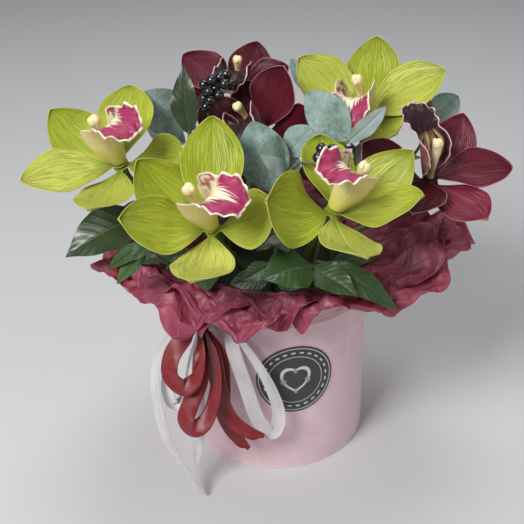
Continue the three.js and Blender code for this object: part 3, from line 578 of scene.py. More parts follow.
def cream_lip():
    """The green heads' lip: cream and yellow outside with a rose flush; inside, wine blotches on the
    side lobes, a wine front lobe rayed with cream, yellow keels in a pale throat and a cream frill."""
    finish = Finish("cream_lip", Roughness=0.42, Sheen_Weight=0.05, Subsurface_Weight=0.15,
                    Subsurface_Scale=0.002, Specular_IOR_Level=0.45)
    along, across, edge = finish.mark("place")
    seed, front, _ = finish.mark("kind")
    where = finish.where()
    cloud = finish.noise(where, 130, 3)
    rough = finish.noise(where, 420, 4, 0.6)
    blotch = finish.noise(finish.vector(along * 7, across * 3.2, seed * 13), 1.0, 3, 0.6)
    rays = finish.noise(finish.vector(along * 3, across * 11, seed * 5), 1.0, 3, 0.6)
    spots = finish.cells(finish.vector(along * 26, across * 13, seed * 3), 1.0).between(0.28, 0.16)
    wide = across.size()
    veins = ((across * 26 + rough * 2).wave().size()).between(0.4, 0.0)
    outside = finish.mix(along.between(0.02, 0.34), (0.74, 0.66, 0.14), (0.86, 0.72, 0.36))
    outside = finish.mix(wide.between(0.35, 1.0) * cloud.between(0.3, 0.7) * 0.6, outside, (0.78, 0.42, 0.36))
    outside = finish.mix(along.between(0.6, 0.72) * 0.5, outside, (0.72, 0.28, 0.34))
    throat = wide.between(0.34, 0.06) * along.between(0.66, 0.5)
    inside = finish.mix(throat, (0.88, 0.80, 0.58), (0.86, 0.60, 0.12))
    side_lobe = wide.between(0.40, 0.66) * along.between(0.20, 0.34) * blotch.between(0.42, 0.54)
    side_lobe = side_lobe * along.between(0.60, 0.54)
    tongue = (wide * 0.6 + rays * 1.1 + along * 1.5 - 1.25).between(0.46, 0.60) * along.between(0.56, 0.64)
    wine = side_lobe.most(tongue).least(1.0)
    dye = finish.mix(blotch.between(0.3, 0.7), (0.40, 0.022, 0.105), (0.27, 0.012, 0.060))
    dye = finish.mix(veins * 0.3, dye, (0.62, 0.14, 0.26))
    inside = finish.mix(wine * edge.between(0.7, 1.6), inside, dye)
    spots = spots * along.between(0.6, 0.4) * wide.between(0.75, 0.3) * 0.7
    inside = finish.mix(spots, inside, (0.42, 0.04, 0.10))
    colour = finish.mix(front, outside, inside)
    colour = finish.mix(edge.between(1.5, 0.5) * 0.85, colour, (0.92, 0.82, 0.66))
    finish.set(Base_Color=colour, Roughness=0.36 + 0.16 * rough)
    finish.bump(rough * 0.3 + veins * 0.4 + wine * 0.3, 0.0003)
    return finish


def maroon_lip():
    """The burgundy heads' lip: near-black maroon with a rose-white frill, a cream throat crossed by
    dark stripes, and a greenish-cream pouch outside."""
    finish = Finish("maroon_lip", Roughness=0.4, Specular_IOR_Level=0.4)
    along, across, edge = finish.mark("place")
    seed, front, _ = finish.mark("kind")
    rough = finish.noise(finish.where(), 420, 4, 0.6)
    cloud = finish.noise(finish.where(), 120, 3)
    wide = across.size()
    rays = finish.noise(finish.vector(along * 3, across * 20, seed * 7), 1.0, 3, 0.6).between(0.46, 0.56)
    velvet = finish.mix(cloud, (0.008, 0.0008, 0.002), (0.040, 0.003, 0.008))
    throat = finish.mix(rays, (0.72, 0.52, 0.26), (0.045, 0.003, 0.010))
    inside = finish.mix(along.between(0.50, 0.60).most(wide.between(0.5, 0.75)), throat, velvet)
    fringe = rays * edge.between(4.5, 0.8) * along.between(0.66, 0.3) * 0.8
    inside = finish.mix(fringe, inside, (0.55, 0.20, 0.25))
    outside = finish.mix(along.between(0.12, 0.45), (0.40, 0.34, 0.15), (0.16, 0.030, 0.045))
    outside = finish.mix(cloud.between(0.4, 0.65) * 0.5, outside, (0.42, 0.18, 0.15))
    colour = finish.mix(front, outside, inside)
    colour = finish.mix(edge.between(1.0, 0.45) * 0.92, colour, (0.86, 0.56, 0.58))
    finish.set(Base_Color=colour, Roughness=0.32 + 0.2 * rough)
    finish.bump(rough * 0.5 + rays * 0.3, 0.0003)
    return finish


def column_wax():
    """Waxy column: cream, greener at the foot, with rose freckles below a clear yellow cap."""
    finish = Finish("column_wax", Roughness=0.32, Subsurface_Weight=0.25, Subsurface_Scale=0.003)
    along, _, _ = finish.mark("place")
    _, _, tone = finish.mark("kind")
    freckles = finish.cells(finish.where(), 1100).between(0.32, 0.2)
    cloud = finish.noise(finish.where(), 200, 3)
    stalk = finish.mix(along.between(0.0, 0.6), (0.52, 0.50, 0.16), (0.84, 0.74, 0.44))
    stalk = finish.mix(freckles * cloud.between(0.4, 0.6) * 0.7, stalk, (0.48, 0.06, 0.12))
    cap = finish.mix(cloud, (0.88, 0.72, 0.30), (0.94, 0.84, 0.56))
    finish.set(Base_Color=finish.mix(tone, stalk, cap), Roughness=0.28 + 0.12 * cloud)
    finish.bump(cloud, 0.0002)
    return finish


def shaded_stalk_green():
    """A smooth flower stalk: fresh green darkened as painted shade, streaked lengthwise and flecked."""
    finish = Finish("shaded_stalk_green", Roughness=0.42)
    along, across, _ = finish.mark("place")
    streak = finish.noise(finish.vector(along * 5, across * 7, 0.0), 1.0, 3)
    fleck = finish.noise(finish.where(), 700, 3)
    # Painted shade: both greens are set darker than a fresh stalk, for the shade inside the box.
    colour = finish.mix(streak.between(0.3, 0.7), (0.045, 0.085, 0.012), (0.12, 0.18, 0.03))
    finish.set(Base_Color=finish.mix(fleck.between(0.6, 0.75) * 0.5, colour, (0.04, 0.05, 0.01)))
    finish.bump(streak, 0.0002)
    return finish


def eucalyptus_bloom():
    """Matt grey-green under a waxy bloom: cloudy patches, fine pale veins, speckles and a dull rim."""
    finish = Finish("eucalyptus_bloom", Roughness=0.7, Sheen_Weight=0.25, Sheen_Roughness=0.6)
    along, across, edge = finish.mark("place")
    _, _, tone = finish.mark("kind")
    cloud = finish.noise(finish.where(), 75, 4, 0.65)
    speck = finish.noise(finish.where(), 520, 4, 0.7)
    ribs = ((along * 8 - across.size() * 2.4 + cloud) * FULL_TURN).wave().between(0.93, 1.0)
    middle = across.size().between(0.045, 0.0)
    colour = finish.mix(cloud.between(0.36, 0.62), (0.115, 0.205, 0.165), (0.30, 0.41, 0.37))
    colour = finish.mix(speck.between(0.52, 0.72) * 0.6, colour, (0.42, 0.53, 0.50))
    colour = finish.mix(speck.between(0.44, 0.32) * 0.5, colour, (0.07, 0.13, 0.09))
    colour = finish.mix(tone, colour, (0.46, 0.57, 0.58))
    colour = finish.mix(ribs * 0.28, colour, (0.36, 0.46, 0.38))
    colour = finish.mix(middle * 0.6, colour, (0.38, 0.44, 0.28))
    colour = finish.mix(edge.between(0.5, 0.2) * 0.6, colour, (0.16, 0.15, 0.11))
    finish.set(Base_Color=colour, Roughness=0.58 + 0.2 * speck)
    finish.bump(ribs * 0.3 + speck * 0.3 - middle * 0.6, 0.0003)
    return finish


def glossy_leaf(name, dark, body, fresh, gloss):
    """A leathery leaf: a pale midrib, faint side veins that sweep to the tip, and a fresher green
    where tone says so."""
    finish = Finish(name, Roughness=gloss, Specular_IOR_Level=0.6, Coat_Weight=0.25, Coat_Roughness=0.25)
    along, across, edge = finish.mark("place")
    _, front, tone = finish.mark("kind")
    cloud = finish.noise(finish.where(), 60, 3)
    fine = finish.noise(finish.where(), 700, 3)
    ribs = ((along * 9 - across.size() * 2.0 + 0.4 * cloud) * FULL_TURN).wave()
    middle = across.size().between(0.07, 0.015)
    veins = ribs.between(0.86, 1.0) * across.size().between(1.0, 0.8)
    colour = finish.mix(cloud.between(0.35, 0.68), dark, body)
    colour = finish.mix(tone, colour, fresh)
    colour = finish.mix(veins * 0.22, colour, (0.045, 0.085, 0.022))
    colour = finish.mix(middle * 0.6, colour, (0.13, 0.19, 0.07))
    colour = finish.mix((1 - front) * 0.4, colour, (0.05, 0.09, 0.035))
    colour = finish.mix(edge.between(0.35, 0.12) * 0.3, colour, (0.08, 0.13, 0.04))
    finish.set(Base_Color=colour, Roughness=gloss + 0.16 * fine)
    finish.bump(ribs * 0.12 - veins * 0.2 - middle * 0.8 + fine * 0.1, 0.0005)
    return finish


def twig_bark():
    """Thin twigs: green-brown bark, flecked darker and lighter."""
    finish = Finish("twig_bark", Roughness=0.65)
    fleck = finish.noise(finish.where(), 500, 4)
    finish.set(Base_Color=finish.mix(fleck.between(0.35, 0.65), (0.05, 0.08, 0.03), (0.14, 0.16, 0.07)))
    finish.bump(fleck, 0.0003)
    return finish


def berry_black():
    """A glossy black berry with a faint plum bloom, duller where the bloom lies."""
    finish = Finish("berry_black", Roughness=0.16, Specular_IOR_Level=0.65, Coat_Weight=0.4, Coat_Roughness=0.1)
    cloud = finish.noise(finish.where(), 260, 3)
    finish.set(Base_Color=finish.mix(cloud.between(0.45, 0.7), (0.004, 0.004, 0.006), (0.022, 0.016, 0.028)),
               Roughness=0.12 + 0.3 * cloud)
    finish.bump(cloud, 0.0001)
    return finish


PINK_CARD, PLAIN_CARD, LINER, FOAM, LABEL = pink_card(), plain_card(), liner_film(), wet_foam(), charcoal_label()
# A satin's first colour is its painted shade and its second its painted sheen.
BAND_SATIN = satin("pink_satin", (0.56, 0.33, 0.375), (0.80, 0.58, 0.62), 1500)
RED_SATIN = satin("red_satin", (0.12, 0.002, 0.005), (0.36, 0.008, 0.018), 700)
ORGANZA, TISSUE = organza(), wine_tissue()
# A tepal skin's fourth colour is its painted highlight, which tone moves a whole tepal towards.
GREEN_TEPAL = tepal_skin(
    "green_tepal", (0.11, 0.17, 0.006), (0.29, 0.355, 0.014), (0.38, 0.44, 0.026),
    (0.66, 0.68, 0.15), (0.60, 0.64, 0.16), 0.5, 0.3)
BURGUNDY_TEPAL = tepal_skin(
    "burgundy_tepal", (0.007, 0.0004, 0.001), (0.050, 0.0016, 0.0060), (0.088, 0.0034, 0.0120),
    (0.27, 0.024, 0.060), (0.62, 0.24, 0.30), 0.45, 0.75)
CREAM_LIP, MAROON_LIP, COLUMN, STALK = cream_lip(), maroon_lip(), column_wax(), shaded_stalk_green()
EUCALYPTUS = eucalyptus_bloom()
DARK_LEAF = glossy_leaf(
    "dark_leaf", (0.006, 0.012, 0.002), (0.020, 0.030, 0.006), (0.014, 0.066, 0.006), 0.3)
SMALL_LEAF = glossy_leaf(
    "small_leaf", (0.010, 0.035, 0.006), (0.028, 0.085, 0.012), (0.07, 0.19, 0.025), 0.34)
BARK, BERRY = twig_bark(), berry_black()

# ---------------------------------------------------------------- the box and what it holds

BOX_RADIUS, BOX_HEIGHT, BOX_WALL = 60.0, 130.0, 2.0
INNER_RADIUS = BOX_RADIUS - BOX_WALL
BASE_RADIUS, BASE_THICKNESS = 57.7, 2.0
LINER_RADIUS, LINER_WALL, LINER_FOOT, LINER_TOP = 57.4, 0.6, 2.3, 110.0
FOAM_TOP = 118.0
TURN_STEPS = 144


def rounded(corners, radius, count=5):
    """A closed profile with each corner cut back and rounded off by a short arc."""
    corners = np.asarray(corners, float)
    before, after = np.roll(corners, 1, 0), np.roll(corners, -1, 0)
    return np.vstack([
        bezier(corner + unit(last - corner) * radius, corner, corner + unit(following - corner) * radius,
               count=count)
        for last, corner, following in zip(before, corners, after)
    ])


def stepped(profile, gap):
    """Adds points along a profile's long straight runs, no more than gap apart."""
    out = []
    for a, b in zip(profile, np.roll(profile, -1, 0)):
        count = max(1, int(np.linalg.norm(b - a) // gap))
        out.append(a + (b - a) * (np.arange(count) / count)[:, None])
    return np.vstack(out)


wall_profile = stepped(rounded(
    [[INNER_RADIUS, 0.05], [BOX_RADIUS, 0.05], [BOX_RADIUS, BOX_HEIGHT], [INNER_RADIUS, BOX_HEIGHT]], 0.7), 8)
wall = lathed(wall_profile, TURN_STEPS)
# The covering paper laps over itself down the back: a step as thick as the paper.
lap = step(np.abs(np.degrees(np.arctan2(wall[0][:, 1], wall[0][:, 0])) - 96), 9, 7)
outward = step(np.hypot(wall[0][:, 0], wall[0][:, 1]), 59.6, 59.9)
wall[0][:, :2] *= (1 - 0.004 * (1 - lap) * outward)[:, None]
piece("box_shell", wall, PINK_CARD, "box_card", "hat_box_wall")
base = lathed(stepped(rounded(
    [[0.4, 0], [BASE_RADIUS, 0], [BASE_RADIUS, BASE_THICKNESS], [0.4, BASE_THICKNESS]], 0.3), 8), TURN_STEPS)
piece("box_bottom", base, PLAIN_CARD, "box_card", "hat_box_base")
liner_inside, liner_floor = LINER_RADIUS - LINER_WALL, LINER_FOOT + LINER_WALL
liner = lathed(stepped(rounded([
    [0.4, LINER_FOOT], [LINER_RADIUS, LINER_FOOT], [LINER_RADIUS, LINER_TOP],
    [liner_inside, LINER_TOP], [liner_inside, liner_floor], [0.4, liner_floor]], 0.25, 3), 8), TURN_STEPS)
piece("liner_cup", liner, LINER, "liner_film", "waterproof_liner")

foam_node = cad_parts["floral_foam"]
foam_node.data.materials.clear()
foam_node.data.materials.append(FOAM.material)

# The label is a disc bent round the wall: rings across its face, over its edge and back.
LABEL_RADIUS, LABEL_HEIGHT, LABEL_TURN = 25.0, 72.5, 10.5
label_face = LABEL_RADIUS - 0.2
label_rings = np.concatenate([
    np.linspace(0.3, label_face, 26), [LABEL_RADIUS, LABEL_RADIUS], np.linspace(label_face, 0.3, 6)])
label_depth = BOX_RADIUS + np.concatenate([np.full(26, 0.42), [0.34, 0.12], np.full(6, 0.04)])
label_angle = np.linspace(0, 2 * np.pi, 96, endpoint=False)[None]
label_x = label_rings[:, None] * np.cos(label_angle)
label_y = label_rings[:, None] * np.sin(label_angle)
label_turn = math.radians(LABEL_TURN) + label_x / BOX_RADIUS
label = np.stack([
    label_depth[:, None] * np.sin(label_turn),
    -label_depth[:, None] * np.cos(label_turn),
    LABEL_HEIGHT + label_y,
], -1)
piece("label_disc", carried(label[::-1], *(m[::-1] for m in marks(label_x, label_y, label_rings[:, None]))),
      LABEL, "label_card", "round_label")


BAND_HEIGHT, BAND_HALF = 118.5, 6.4


def band():
    """The satin band: a ring 13 mm wide whose long soft pleats slide up and down as it goes round."""
    turn = np.linspace(0, 2 * np.pi, 240, endpoint=False)[:, None]
    t = np.linspace(-1, 1, 25)[None]
    slide = 0.5 * np.sin(3 * turn + 0.7) + 0.35 * np.sin(5 * turn)
    pleat = 0.34 * np.sin(5.2 * t + 2.4 * slide) + 0.16 * np.sin(11 * t - 3 * slide)
    radius = BOX_RADIUS + 0.75 + pleat
    height = BAND_HEIGHT + BAND_HALF * t + 0.35 * np.sin(4 * turn + 1)
    middle = np.stack([radius * np.cos(turn), radius * np.sin(turn), height], -1)
    place, kind = marks(turn / (2 * np.pi) + 0 * t, t + 0 * turn, BAND_HALF * (1 - np.abs(t)), 0.3)
    return skin(middle, 0.3, place, kind, ring=True)


band_piece = piece("band_wrap", band(), BAND_SATIN, "band_satin", "ribbon_band")

# ---------------------------------------------------------------- the tissue ruff

# Where the ruff's free edge lies: degrees about +Z from +X, distance from the axis and height.
RUFF_EDGE = [
    [0, 127, 140], [45, 108, 147], [90, 97, 146], [135, 104, 142], [180, 117, 133], [205, 107, 136],
    [222, 93, 128], [240, 88, 119], [255, 84, 125], [275, 79, 128], [300, 86, 130], [320, 100, 133],
    [340, 116, 136],
]


TISSUE_THICKNESS = 0.25
RIM_RADIUS, RIM_HEIGHT = 58.9, 133.6
SHEET_RADIUS, SHEET_DEPTH = 92, 82  # the flat plane on which the creases are worked out


def around(stops, turn):
    """Smooth values between given ones around the full turn."""
    stops = np.asarray(stops, float)
    full = np.vstack([stops[-1] - [360, 0, 0], stops, stops[0] + [360, 0, 0]])
    index = np.searchsorted(full[:, 0], turn % 360, "right") - 1
    part = (turn % 360 - full[index, 0]) / (full[index + 1, 0] - full[index, 0])
    ease = (part * part * (3 - 2 * part))[..., None]
    return full[index, 1:] * (1 - ease) + full[index + 1, 1:] * ease


def crumple(x, y, seed, longest, octaves):
    """Crumpled paper over a plane in millimetres: triangle waves in scattered directions, each octave
    finer and lower, on a plane that is itself bent. Gives the height and how near a crease each point is."""
    random = np.random.default_rng(seed)
    height, crease = np.zeros_like(x), np.zeros_like(x)
    for octave in range(octaves):
        length = longest * 0.62**octave
        for _ in range(3):
            turn, shift = random.uniform(0, np.pi), random.uniform(0, 1, 4)
            warp_x = x + 0.22 * length * np.sin(2 * np.pi * (y / (2.1 * length) + shift[0]))
            warp_y = y + 0.22 * length * np.sin(2 * np.pi * (x / (2.4 * length) + shift[1]))
            phase = (warp_x * np.cos(turn) + warp_y * np.sin(turn)) / length + shift[2]
            wave = np.abs(2 * (phase - np.floor(phase + 0.5)))
            height += (wave - 0.5) * length * 0.12
            crease = np.maximum(crease, step(wave, 0.90, 1.0) * (0.9 - 0.12 * octave))
    return height, crease


def ruff(seed, reach, raised, waves):
    """A ring of tissue: tucked inside the wall, over the rim, and out to its free edge in deep folds
    that grow outwards, with the whole sheet crumpled. reach is how much of the way out it goes."""
    random = np.random.default_rng(seed)
    columns, rows = 540, 62
    turn = np.linspace(0, 360, columns, endpoint=False)[:, None]
    v = np.linspace(0, 1, rows)[None]
    edge = around(RUFF_EDGE, turn)
    edge_radius, edge_height = edge[..., 0], edge[..., 1]
    rim_radius, rim_height = RIM_RADIUS, RIM_HEIGHT + raised
    edge_radius = rim_radius + (edge_radius - rim_radius) * reach
    edge_height = edge_height + raised * 1.6
    stops = [0, 0.14, 0.28, 0.62, 1]
    radii = [52.4 + 0 * turn, 54.6 + 0 * turn, rim_radius + 0 * turn,
             rim_radius + (edge_radius - rim_radius) * 0.5, edge_radius]
    heights = [119.6 + raised * 0.3 + 0 * turn, 127 + raised * 0.6 + 0 * turn, rim_height + 0 * turn,
               rim_height + np.maximum(edge_height - rim_height, -6) * 0.3 + 2.6, edge_height]
    nodes = np.clip(np.searchsorted(stops, v, "right") - 1, 0, 3)
    part = (v - np.take(stops, nodes)) / (np.take(stops, nodes + 1) - np.take(stops, nodes))
    radii, heights = np.hstack(radii), np.hstack(heights)
    radius = radii[:, nodes[0]] * (1 - part) + radii[:, nodes[0] + 1] * part
    height = heights[:, nodes[0]] * (1 - part) + heights[:, nodes[0] + 1] * part
    out = np.clip((v - 0.28) / 0.72, 0, 1)
    angle = np.radians(turn)
    shifts = random.uniform(0, 2 * np.pi, 6)
    fold = sum(
        size * np.sin(count * angle + shift + bend * out)
        for count, size, shift, bend in zip(waves, (0.75, 0.5, 0.4, 0.28, 0.18), shifts, (0, 1.2, -0.9, 1.6, -2))
    )
    # The folds stand highest to the right and at the front left, where the sheet is bunched.
    bunched = 1 + 0.7 * step(np.abs((turn + 182) % 360 - 180), 40, 5) + 0.5 * step(np.abs(turn - 238), 30, 5)
    height = height + 5.4 * bunched * fold * out**1.3
    radius = radius + out * (2.4 * np.sin(11 * angle + shifts[5]) + 1.6 * np.sin(27 * angle + 2 * shifts[4]))
    plane_x, plane_y = np.radians(turn) * SHEET_RADIUS + 0 * v, v * SHEET_DEPTH + 0 * turn
    bumps, crease = crumple(plane_x, plane_y, seed, 44, 4)
    blend = step(turn, 352, 360) + 0 * v
    first, first_crease = crumple(plane_x - 2 * np.pi * SHEET_RADIUS, plane_y, seed, 44, 4)
    bumps, crease = bumps * (1 - blend) + first * blend, crease * (1 - blend) + first_crease * blend
    height = height + bumps * (0.25 + 0.75 * out)
    radius = radius + 0.6 * np.roll(bumps, 37, 0) * out
    middle = np.stack([radius * np.cos(angle), radius * np.sin(angle), height], -1)
    # The crease measure rides as tone; the tissue paints its crease ridges lighter with it, as highlights.
    place, kind = marks(turn / 360 + 0 * v, v + 0 * turn, (1 - v) * 80 + 0 * turn, 0.1, crease)
    return skin(middle, TISSUE_THICKNESS, place, kind, ring=True)


outer_shape = ruff(5, 1.0, 0.0, (14, 9, 5, 22, 31))
inner_shape = ruff(11, 0.84, 3.4, (13, 8, 6, 19, 29))
outer_ruff = piece("tissue_outer", outer_shape, TISSUE, "wine_tissue", "tissue_wrap")
inner_ruff = piece("tissue_inner", inner_shape, TISSUE, "wine_tissue")

# ---------------------------------------------------------------- the tied ribbons

RED_WIDTH, WHITE_WIDTH = 11.0, 9.0
KNOT_TURN, KNOT_HEIGHT, KNOT_HALF = -42.5, 112.0, (7.5, 3.0, 6.5)
WHITE_STRIPS = [  # points, twists, how opaque the length is, and whether it is a tail
    ([[-47, -43, 112], [-57, -46, 108], [-66, -53, 102], [-73, -59, 93], [-76, -65, 81], [-75, -72, 66],
      [-72, -78, 51], [-66, -82, 35], [-58, -84, 19], [-50, -86, 4]], (0, 20), 0.0, True),
    ([[-47, -44, 110], [-57, -49, 103], [-65, -58, 89], [-69, -64, 73], [-66, -66, 61], [-60, -61, 64],
      [-56, -53, 83], [-47, -45, 107]], (10, 40), 1.0, False),
    ([[-40, -50, 111], [-30, -58, 107], [-26, -64, 94], [-20, -68, 74], [-14, -71, 53], [-8, -73, 44],
      [-3, -73, 43], [0, -71, 55], [-5, -69, 74], [-15, -66, 94], [-25, -62, 108], [-38, -53, 114]],
     (15, 30), 0.0, False),
    ([[-46, -47, 108], [-49, -56, 92], [-50, -64, 68], [-50, -72, 47], [-54, -78, 21]], (0, 25), 0.0, True),
]
RED_STRIPS = [
    ([[-51, -60, 114], [-56, -65, 111], [-64, -71, 101], [-65, -76, 90], [-57, -78, 83], [-49, -76, 89],
      [-46, -69, 101], [-46, -55, 111]], (20, 30), 0.0, False),
    ([[-47, -54, 109], [-46, -67, 99], [-48, -73, 84], [-54, -79, 71], [-57, -83, 62], [-53, -85, 57],
      [-46, -84, 60], [-41, -80, 69], [-38, -74, 84], [-39, -66, 99], [-44, -55, 110]],
     (15, 25), 0.0, False),
    ([[-44, -56, 109], [-39, -64, 95], [-37, -69, 79], [-34, -73, 63], [-27, -76, 52], [-18, -78, 46],
      [-10, -79, 43]], (0, 45), 0.0, True),
    ([[-43, -56, 108], [-36, -61, 92], [-35, -65, 74], [-35, -69, 58], [-31, -72, 46], [-25, -74, 37],
      [-20, -76, 31]], (10, 70), 0.0, True),
]


def ribbon(points, width, twists, opaque, seed, tail):
    """A flat length along a smooth curve. Its width lies along the box at twist 0 and stands out at 90;
    it cups a little, gathers at the knot, and a tail is cut to a slant."""
    count = 22 * (len(points) - 1)
    curve = spline(points, count)
    u, t = np.linspace(0, 1, count)[:, None], np.linspace(-1, 1, 13)[None]
    tangent = unit(np.gradient(curve, axis=0))
    outward = unit(curve * [1, 1, 0])
    side = unit(np.cross(tangent, outward))
    lift = np.cross(side, tangent)
    twist = np.radians(twists[0] + (twists[1] - twists[0]) * u)
    gather = 0.55 + 0.45 * step(u, 0.0, 0.14)
    if not tail:
        gather = gather * (0.55 + 0.45 * step(u, 1.0, 0.86))
    half = 0.5 * width * gather
    if tail:
        slant = 1 - step(u, 0.9, 1.0) * np.clip(0.55 + 0.5 * t, 0, 0.97)
        half = half * (1 - 0.5 * u**3) * np.clip(slant, 0.03, 1)
    cup = 0.07 * width * (1 - t * t) * np.sin(2 * np.pi * (1.6 * u + seed)) + 0.3 * np.sin(9 * u + 3 * t + seed)
    broad = np.cos(twist)[..., None] * side[:, None] + np.sin(twist)[..., None] * lift[:, None]
    stand = np.cos(twist)[..., None] * lift[:, None] - np.sin(twist)[..., None] * side[:, None]
    middle = curve[:, None] + (half * t)[..., None] * broad + cup[..., None] * stand
    length = np.linalg.norm(np.diff(curve, axis=0), axis=1).sum()
    place, kind = marks(u * length / 100 + 0 * t, t + 0 * u, half * (1 - np.abs(t)), seed, opaque)
    return skin(middle, 0.22, place, kind), length


def knot(distance, tone):
    """A tied knot: a flattened ball with gathers, turned to the box's wall."""
    turn = math.radians(KNOT_TURN)
    axes = np.array([[math.cos(turn), math.sin(turn), 0], [-math.sin(turn), math.cos(turn), 0], [0, 0, 1]])
    middle = facing(KNOT_TURN, 0) * distance + [0, 0, KNOT_HEIGHT]
    return ball(middle, KNOT_HALF, axes, 40, 0.5, tone, 0.09)


def tied(name, strips, width, knot_distance, finish, slot, node, knot_tone):
    shapes, total = [knot(knot_distance, knot_tone)], 0.0
    for number, (points, twists, opaque, tail) in enumerate(strips):
        shape, length = ribbon(points, width, twists, opaque, 0.37 * number + 0.2, tail)
        shapes.append(shape)
        total += length
    made = piece(name, joined(shapes), finish, slot, node)


tied("organza_bow", WHITE_STRIPS, WHITE_WIDTH, 64.2, ORGANZA, "white_organza", "white_ribbon", 0.9)
tied("satin_bow", RED_STRIPS, RED_WIDTH, 70.8, RED_SATIN, "red_satin", "red_ribbon", 0.0)

# ---------------------------------------------------------------- cymbidium heads

# A head looks along its own +Z and its dorsal side is its own +Y. Tepals are [angle from the dorsal
# side towards -X, lift above the head's plane, length, twist, tone] and sometimes a share of breadth;
# tone is how far a whole tepal is lightened as a painted highlight.
HUB_RADIUS, HUB_HEIGHT = 5.0, 2.0
SEPAL_WHORL = dict(middle=-1.0, rise=0.0, growth=0.15, cup=0.1, widest=0.58, fullness=0.74)
PETAL_WHORL = dict(middle=1.3, rise=12.0, growth=0.5, cup=0.2, widest=0.55, fullness=0.7)
HEADS = [  # name, centre, turn, rise, roll, sepals, petals, foot, how far the lip curls
    ("green_left", (-91, -16, 203), -43, 67, 90,
     [[0, 30, 57, -16, 0.15], [123, 17, 57, -8, 0.7], [-155, 6, 45, 20, 0.3]],
     [[61, 20, 59, -12, 0.75], [-59, 18, 56, 14, 0.2]], (-36, 2), 1.0),
    ("green_front_left", (-36, -63, 183), -28, 62, 82,
     [[-9, 34, 57, -10, 0.05], [119, 24, 56, -8, 0.95], [-155, 24, 45, 20, 0.35]],
     [[50, 40, 56, -22, 0.1], [-66, 29, 64, 8, 0.0, 1.05]], (-20, -28), 1.0),
    ("green_front_right", (33, -54, 187), 63, 62, -109,
     [[-2, 41, 59, 6, 0.35], [168, 12, 56, -40, 0.1, 1.22], [-124, 18, 57, 10, 0.8]],
     [[65, 20, 50, -6, 0.0], [-64, 47, 54, 14, 0.3]], (16, -30), 1.0),
    ("green_top_right", (60, 35, 210), -25, 55, 7,
     [[-2, 14, 56, 4, 0.0], [126, 34, 44, -6, 0.2], [-128, 19, 34, 2, 0.3]],
     [[59, 27, 57, 2, 0.6], [-64, 17, 58, 6, 0.6]], (26, 18), 1.0),
    ("burgundy_back", (-22, 72, 213), 2, 68, -14,
     [[-7, 17, 46, 8, 0.15], [126, 14, 47, -10, 0.0], [-127, 5, 40, 8, 0.1]],
     [[68, 20, 47, -9, 0.3], [-61, 24, 40, 8, 0.1]], (-12, 32), 1.0),
    ("burgundy_centre", (-8, 25, 204), -40, 48, 42,
     [[-2, 18, 38, 6, 0.0], [127, 16, 35, -8, 0.1], [-116, 20, 48, 12, 0.0]],
     [[53, 26, 43, -10, 0.1], [-57, 30, 46, 12, 0.25, 1.1]], (-6, 8), 1.0),
    ("burgundy_right", (95, -15, 187), -6, 78, -140,
     [[0, 0, 48, 8, 0.95], [111, 30, 49, 10, 0.6], [-137, 28, 48, -20, 0.0, 1.2]],
     [[58, 6, 50, 14, 0.35], [-58, 5, 40, -4, 0.0]], (38, 4), 0.62),
]
LIP_LENGTH = 56.0
LIP_STOPS = [  # place along, heading, half width and fold in degrees
    [0, 8, 5, 60], [0.1, 6, 12, 100], [0.26, 8, 20, 118], [0.46, 16, 21, 108], [0.58, 44, 12, 52],
    [0.8, 96, 14, 18], [1, 138, 6, 10],
]


def tepal(angle, lift, length, twist, tone, breadth, width, whorl, seed):
    """A sepal or petal on a grid: a curve of three corners from the hub to the tip carries a width that
    swells and narrows and turns about it over the first half; the edges cup forward with the square of
    the way out, ripple near the margin, and a shallow groove follows the midrib. Thick in the middle,
    thin at the margin."""
    u, t = grid(46, 30)
    turn, rise = np.radians(angle), np.radians(lift)
    out, up = np.array([-np.sin(turn), np.cos(turn), 0]), np.array([0, 0, 1.0])
    side = np.cross(out, up)
    start = out * (HUB_RADIUS - 0.8) + up * whorl["middle"]
    tip = length * (out * np.cos(rise) + up * np.sin(rise))
    first = np.radians(whorl["rise"] + whorl["growth"] * lift)
    reach = 0.5 * np.linalg.norm(tip - start)
    bend = start + reach * (out * np.cos(first) + up * np.sin(first))
    s = u[..., None]
    middle = (1 - s) ** 2 * start + 2 * s * (1 - s) * bend + s**2 * tip
    along = unit(2 * (1 - s) * (bend - start) + 2 * s * (tip - bend))
    front = np.cross(side, along)
    spin = (np.radians(twist) * step(u, 0, 0.5))[..., None]
    broad = side * np.cos(spin) - front * np.sin(spin)
    stand = front * np.cos(spin) + side * np.sin(spin)
    half = np.maximum(0.5 * width * breadth * outline(u, whorl["widest"], whorl["fullness"]), 2.2 - 2.0 * u)
    wide = np.abs(t)
    cup = whorl["cup"] * half * t * t
    groove = -0.55 * np.exp(-((t * half / 1.1) ** 2)) * step(u, 0.0, 0.12) * step(u, 1.0, 0.8)
    ripple = 0.8 * wide**3 * np.sin(2 * np.pi * (2.1 * u + seed) + 1.4 * np.sign(t)) * np.sin(np.pi * u)
    swell = 0.4 * (1 - t * t) * np.sin(2 * np.pi * (1.2 * u + 2 * seed)) * np.sin(np.pi * u)
    pinch = 1.6 * step(u, 0.86, 1.0) * (t * t - 0.4)
    lifted = cup + groove + ripple + swell + pinch
    middle = middle + (t * half)[..., None] * broad + lifted[..., None] * stand
    thickness = 0.35 + 0.75 * (1 - wide**3) * (1 - 0.5 * u)
    edge = np.minimum(half * (1 - wide), (1 - u) * length)
    return skin(middle, thickness, *marks(u, t, edge, seed, tone))


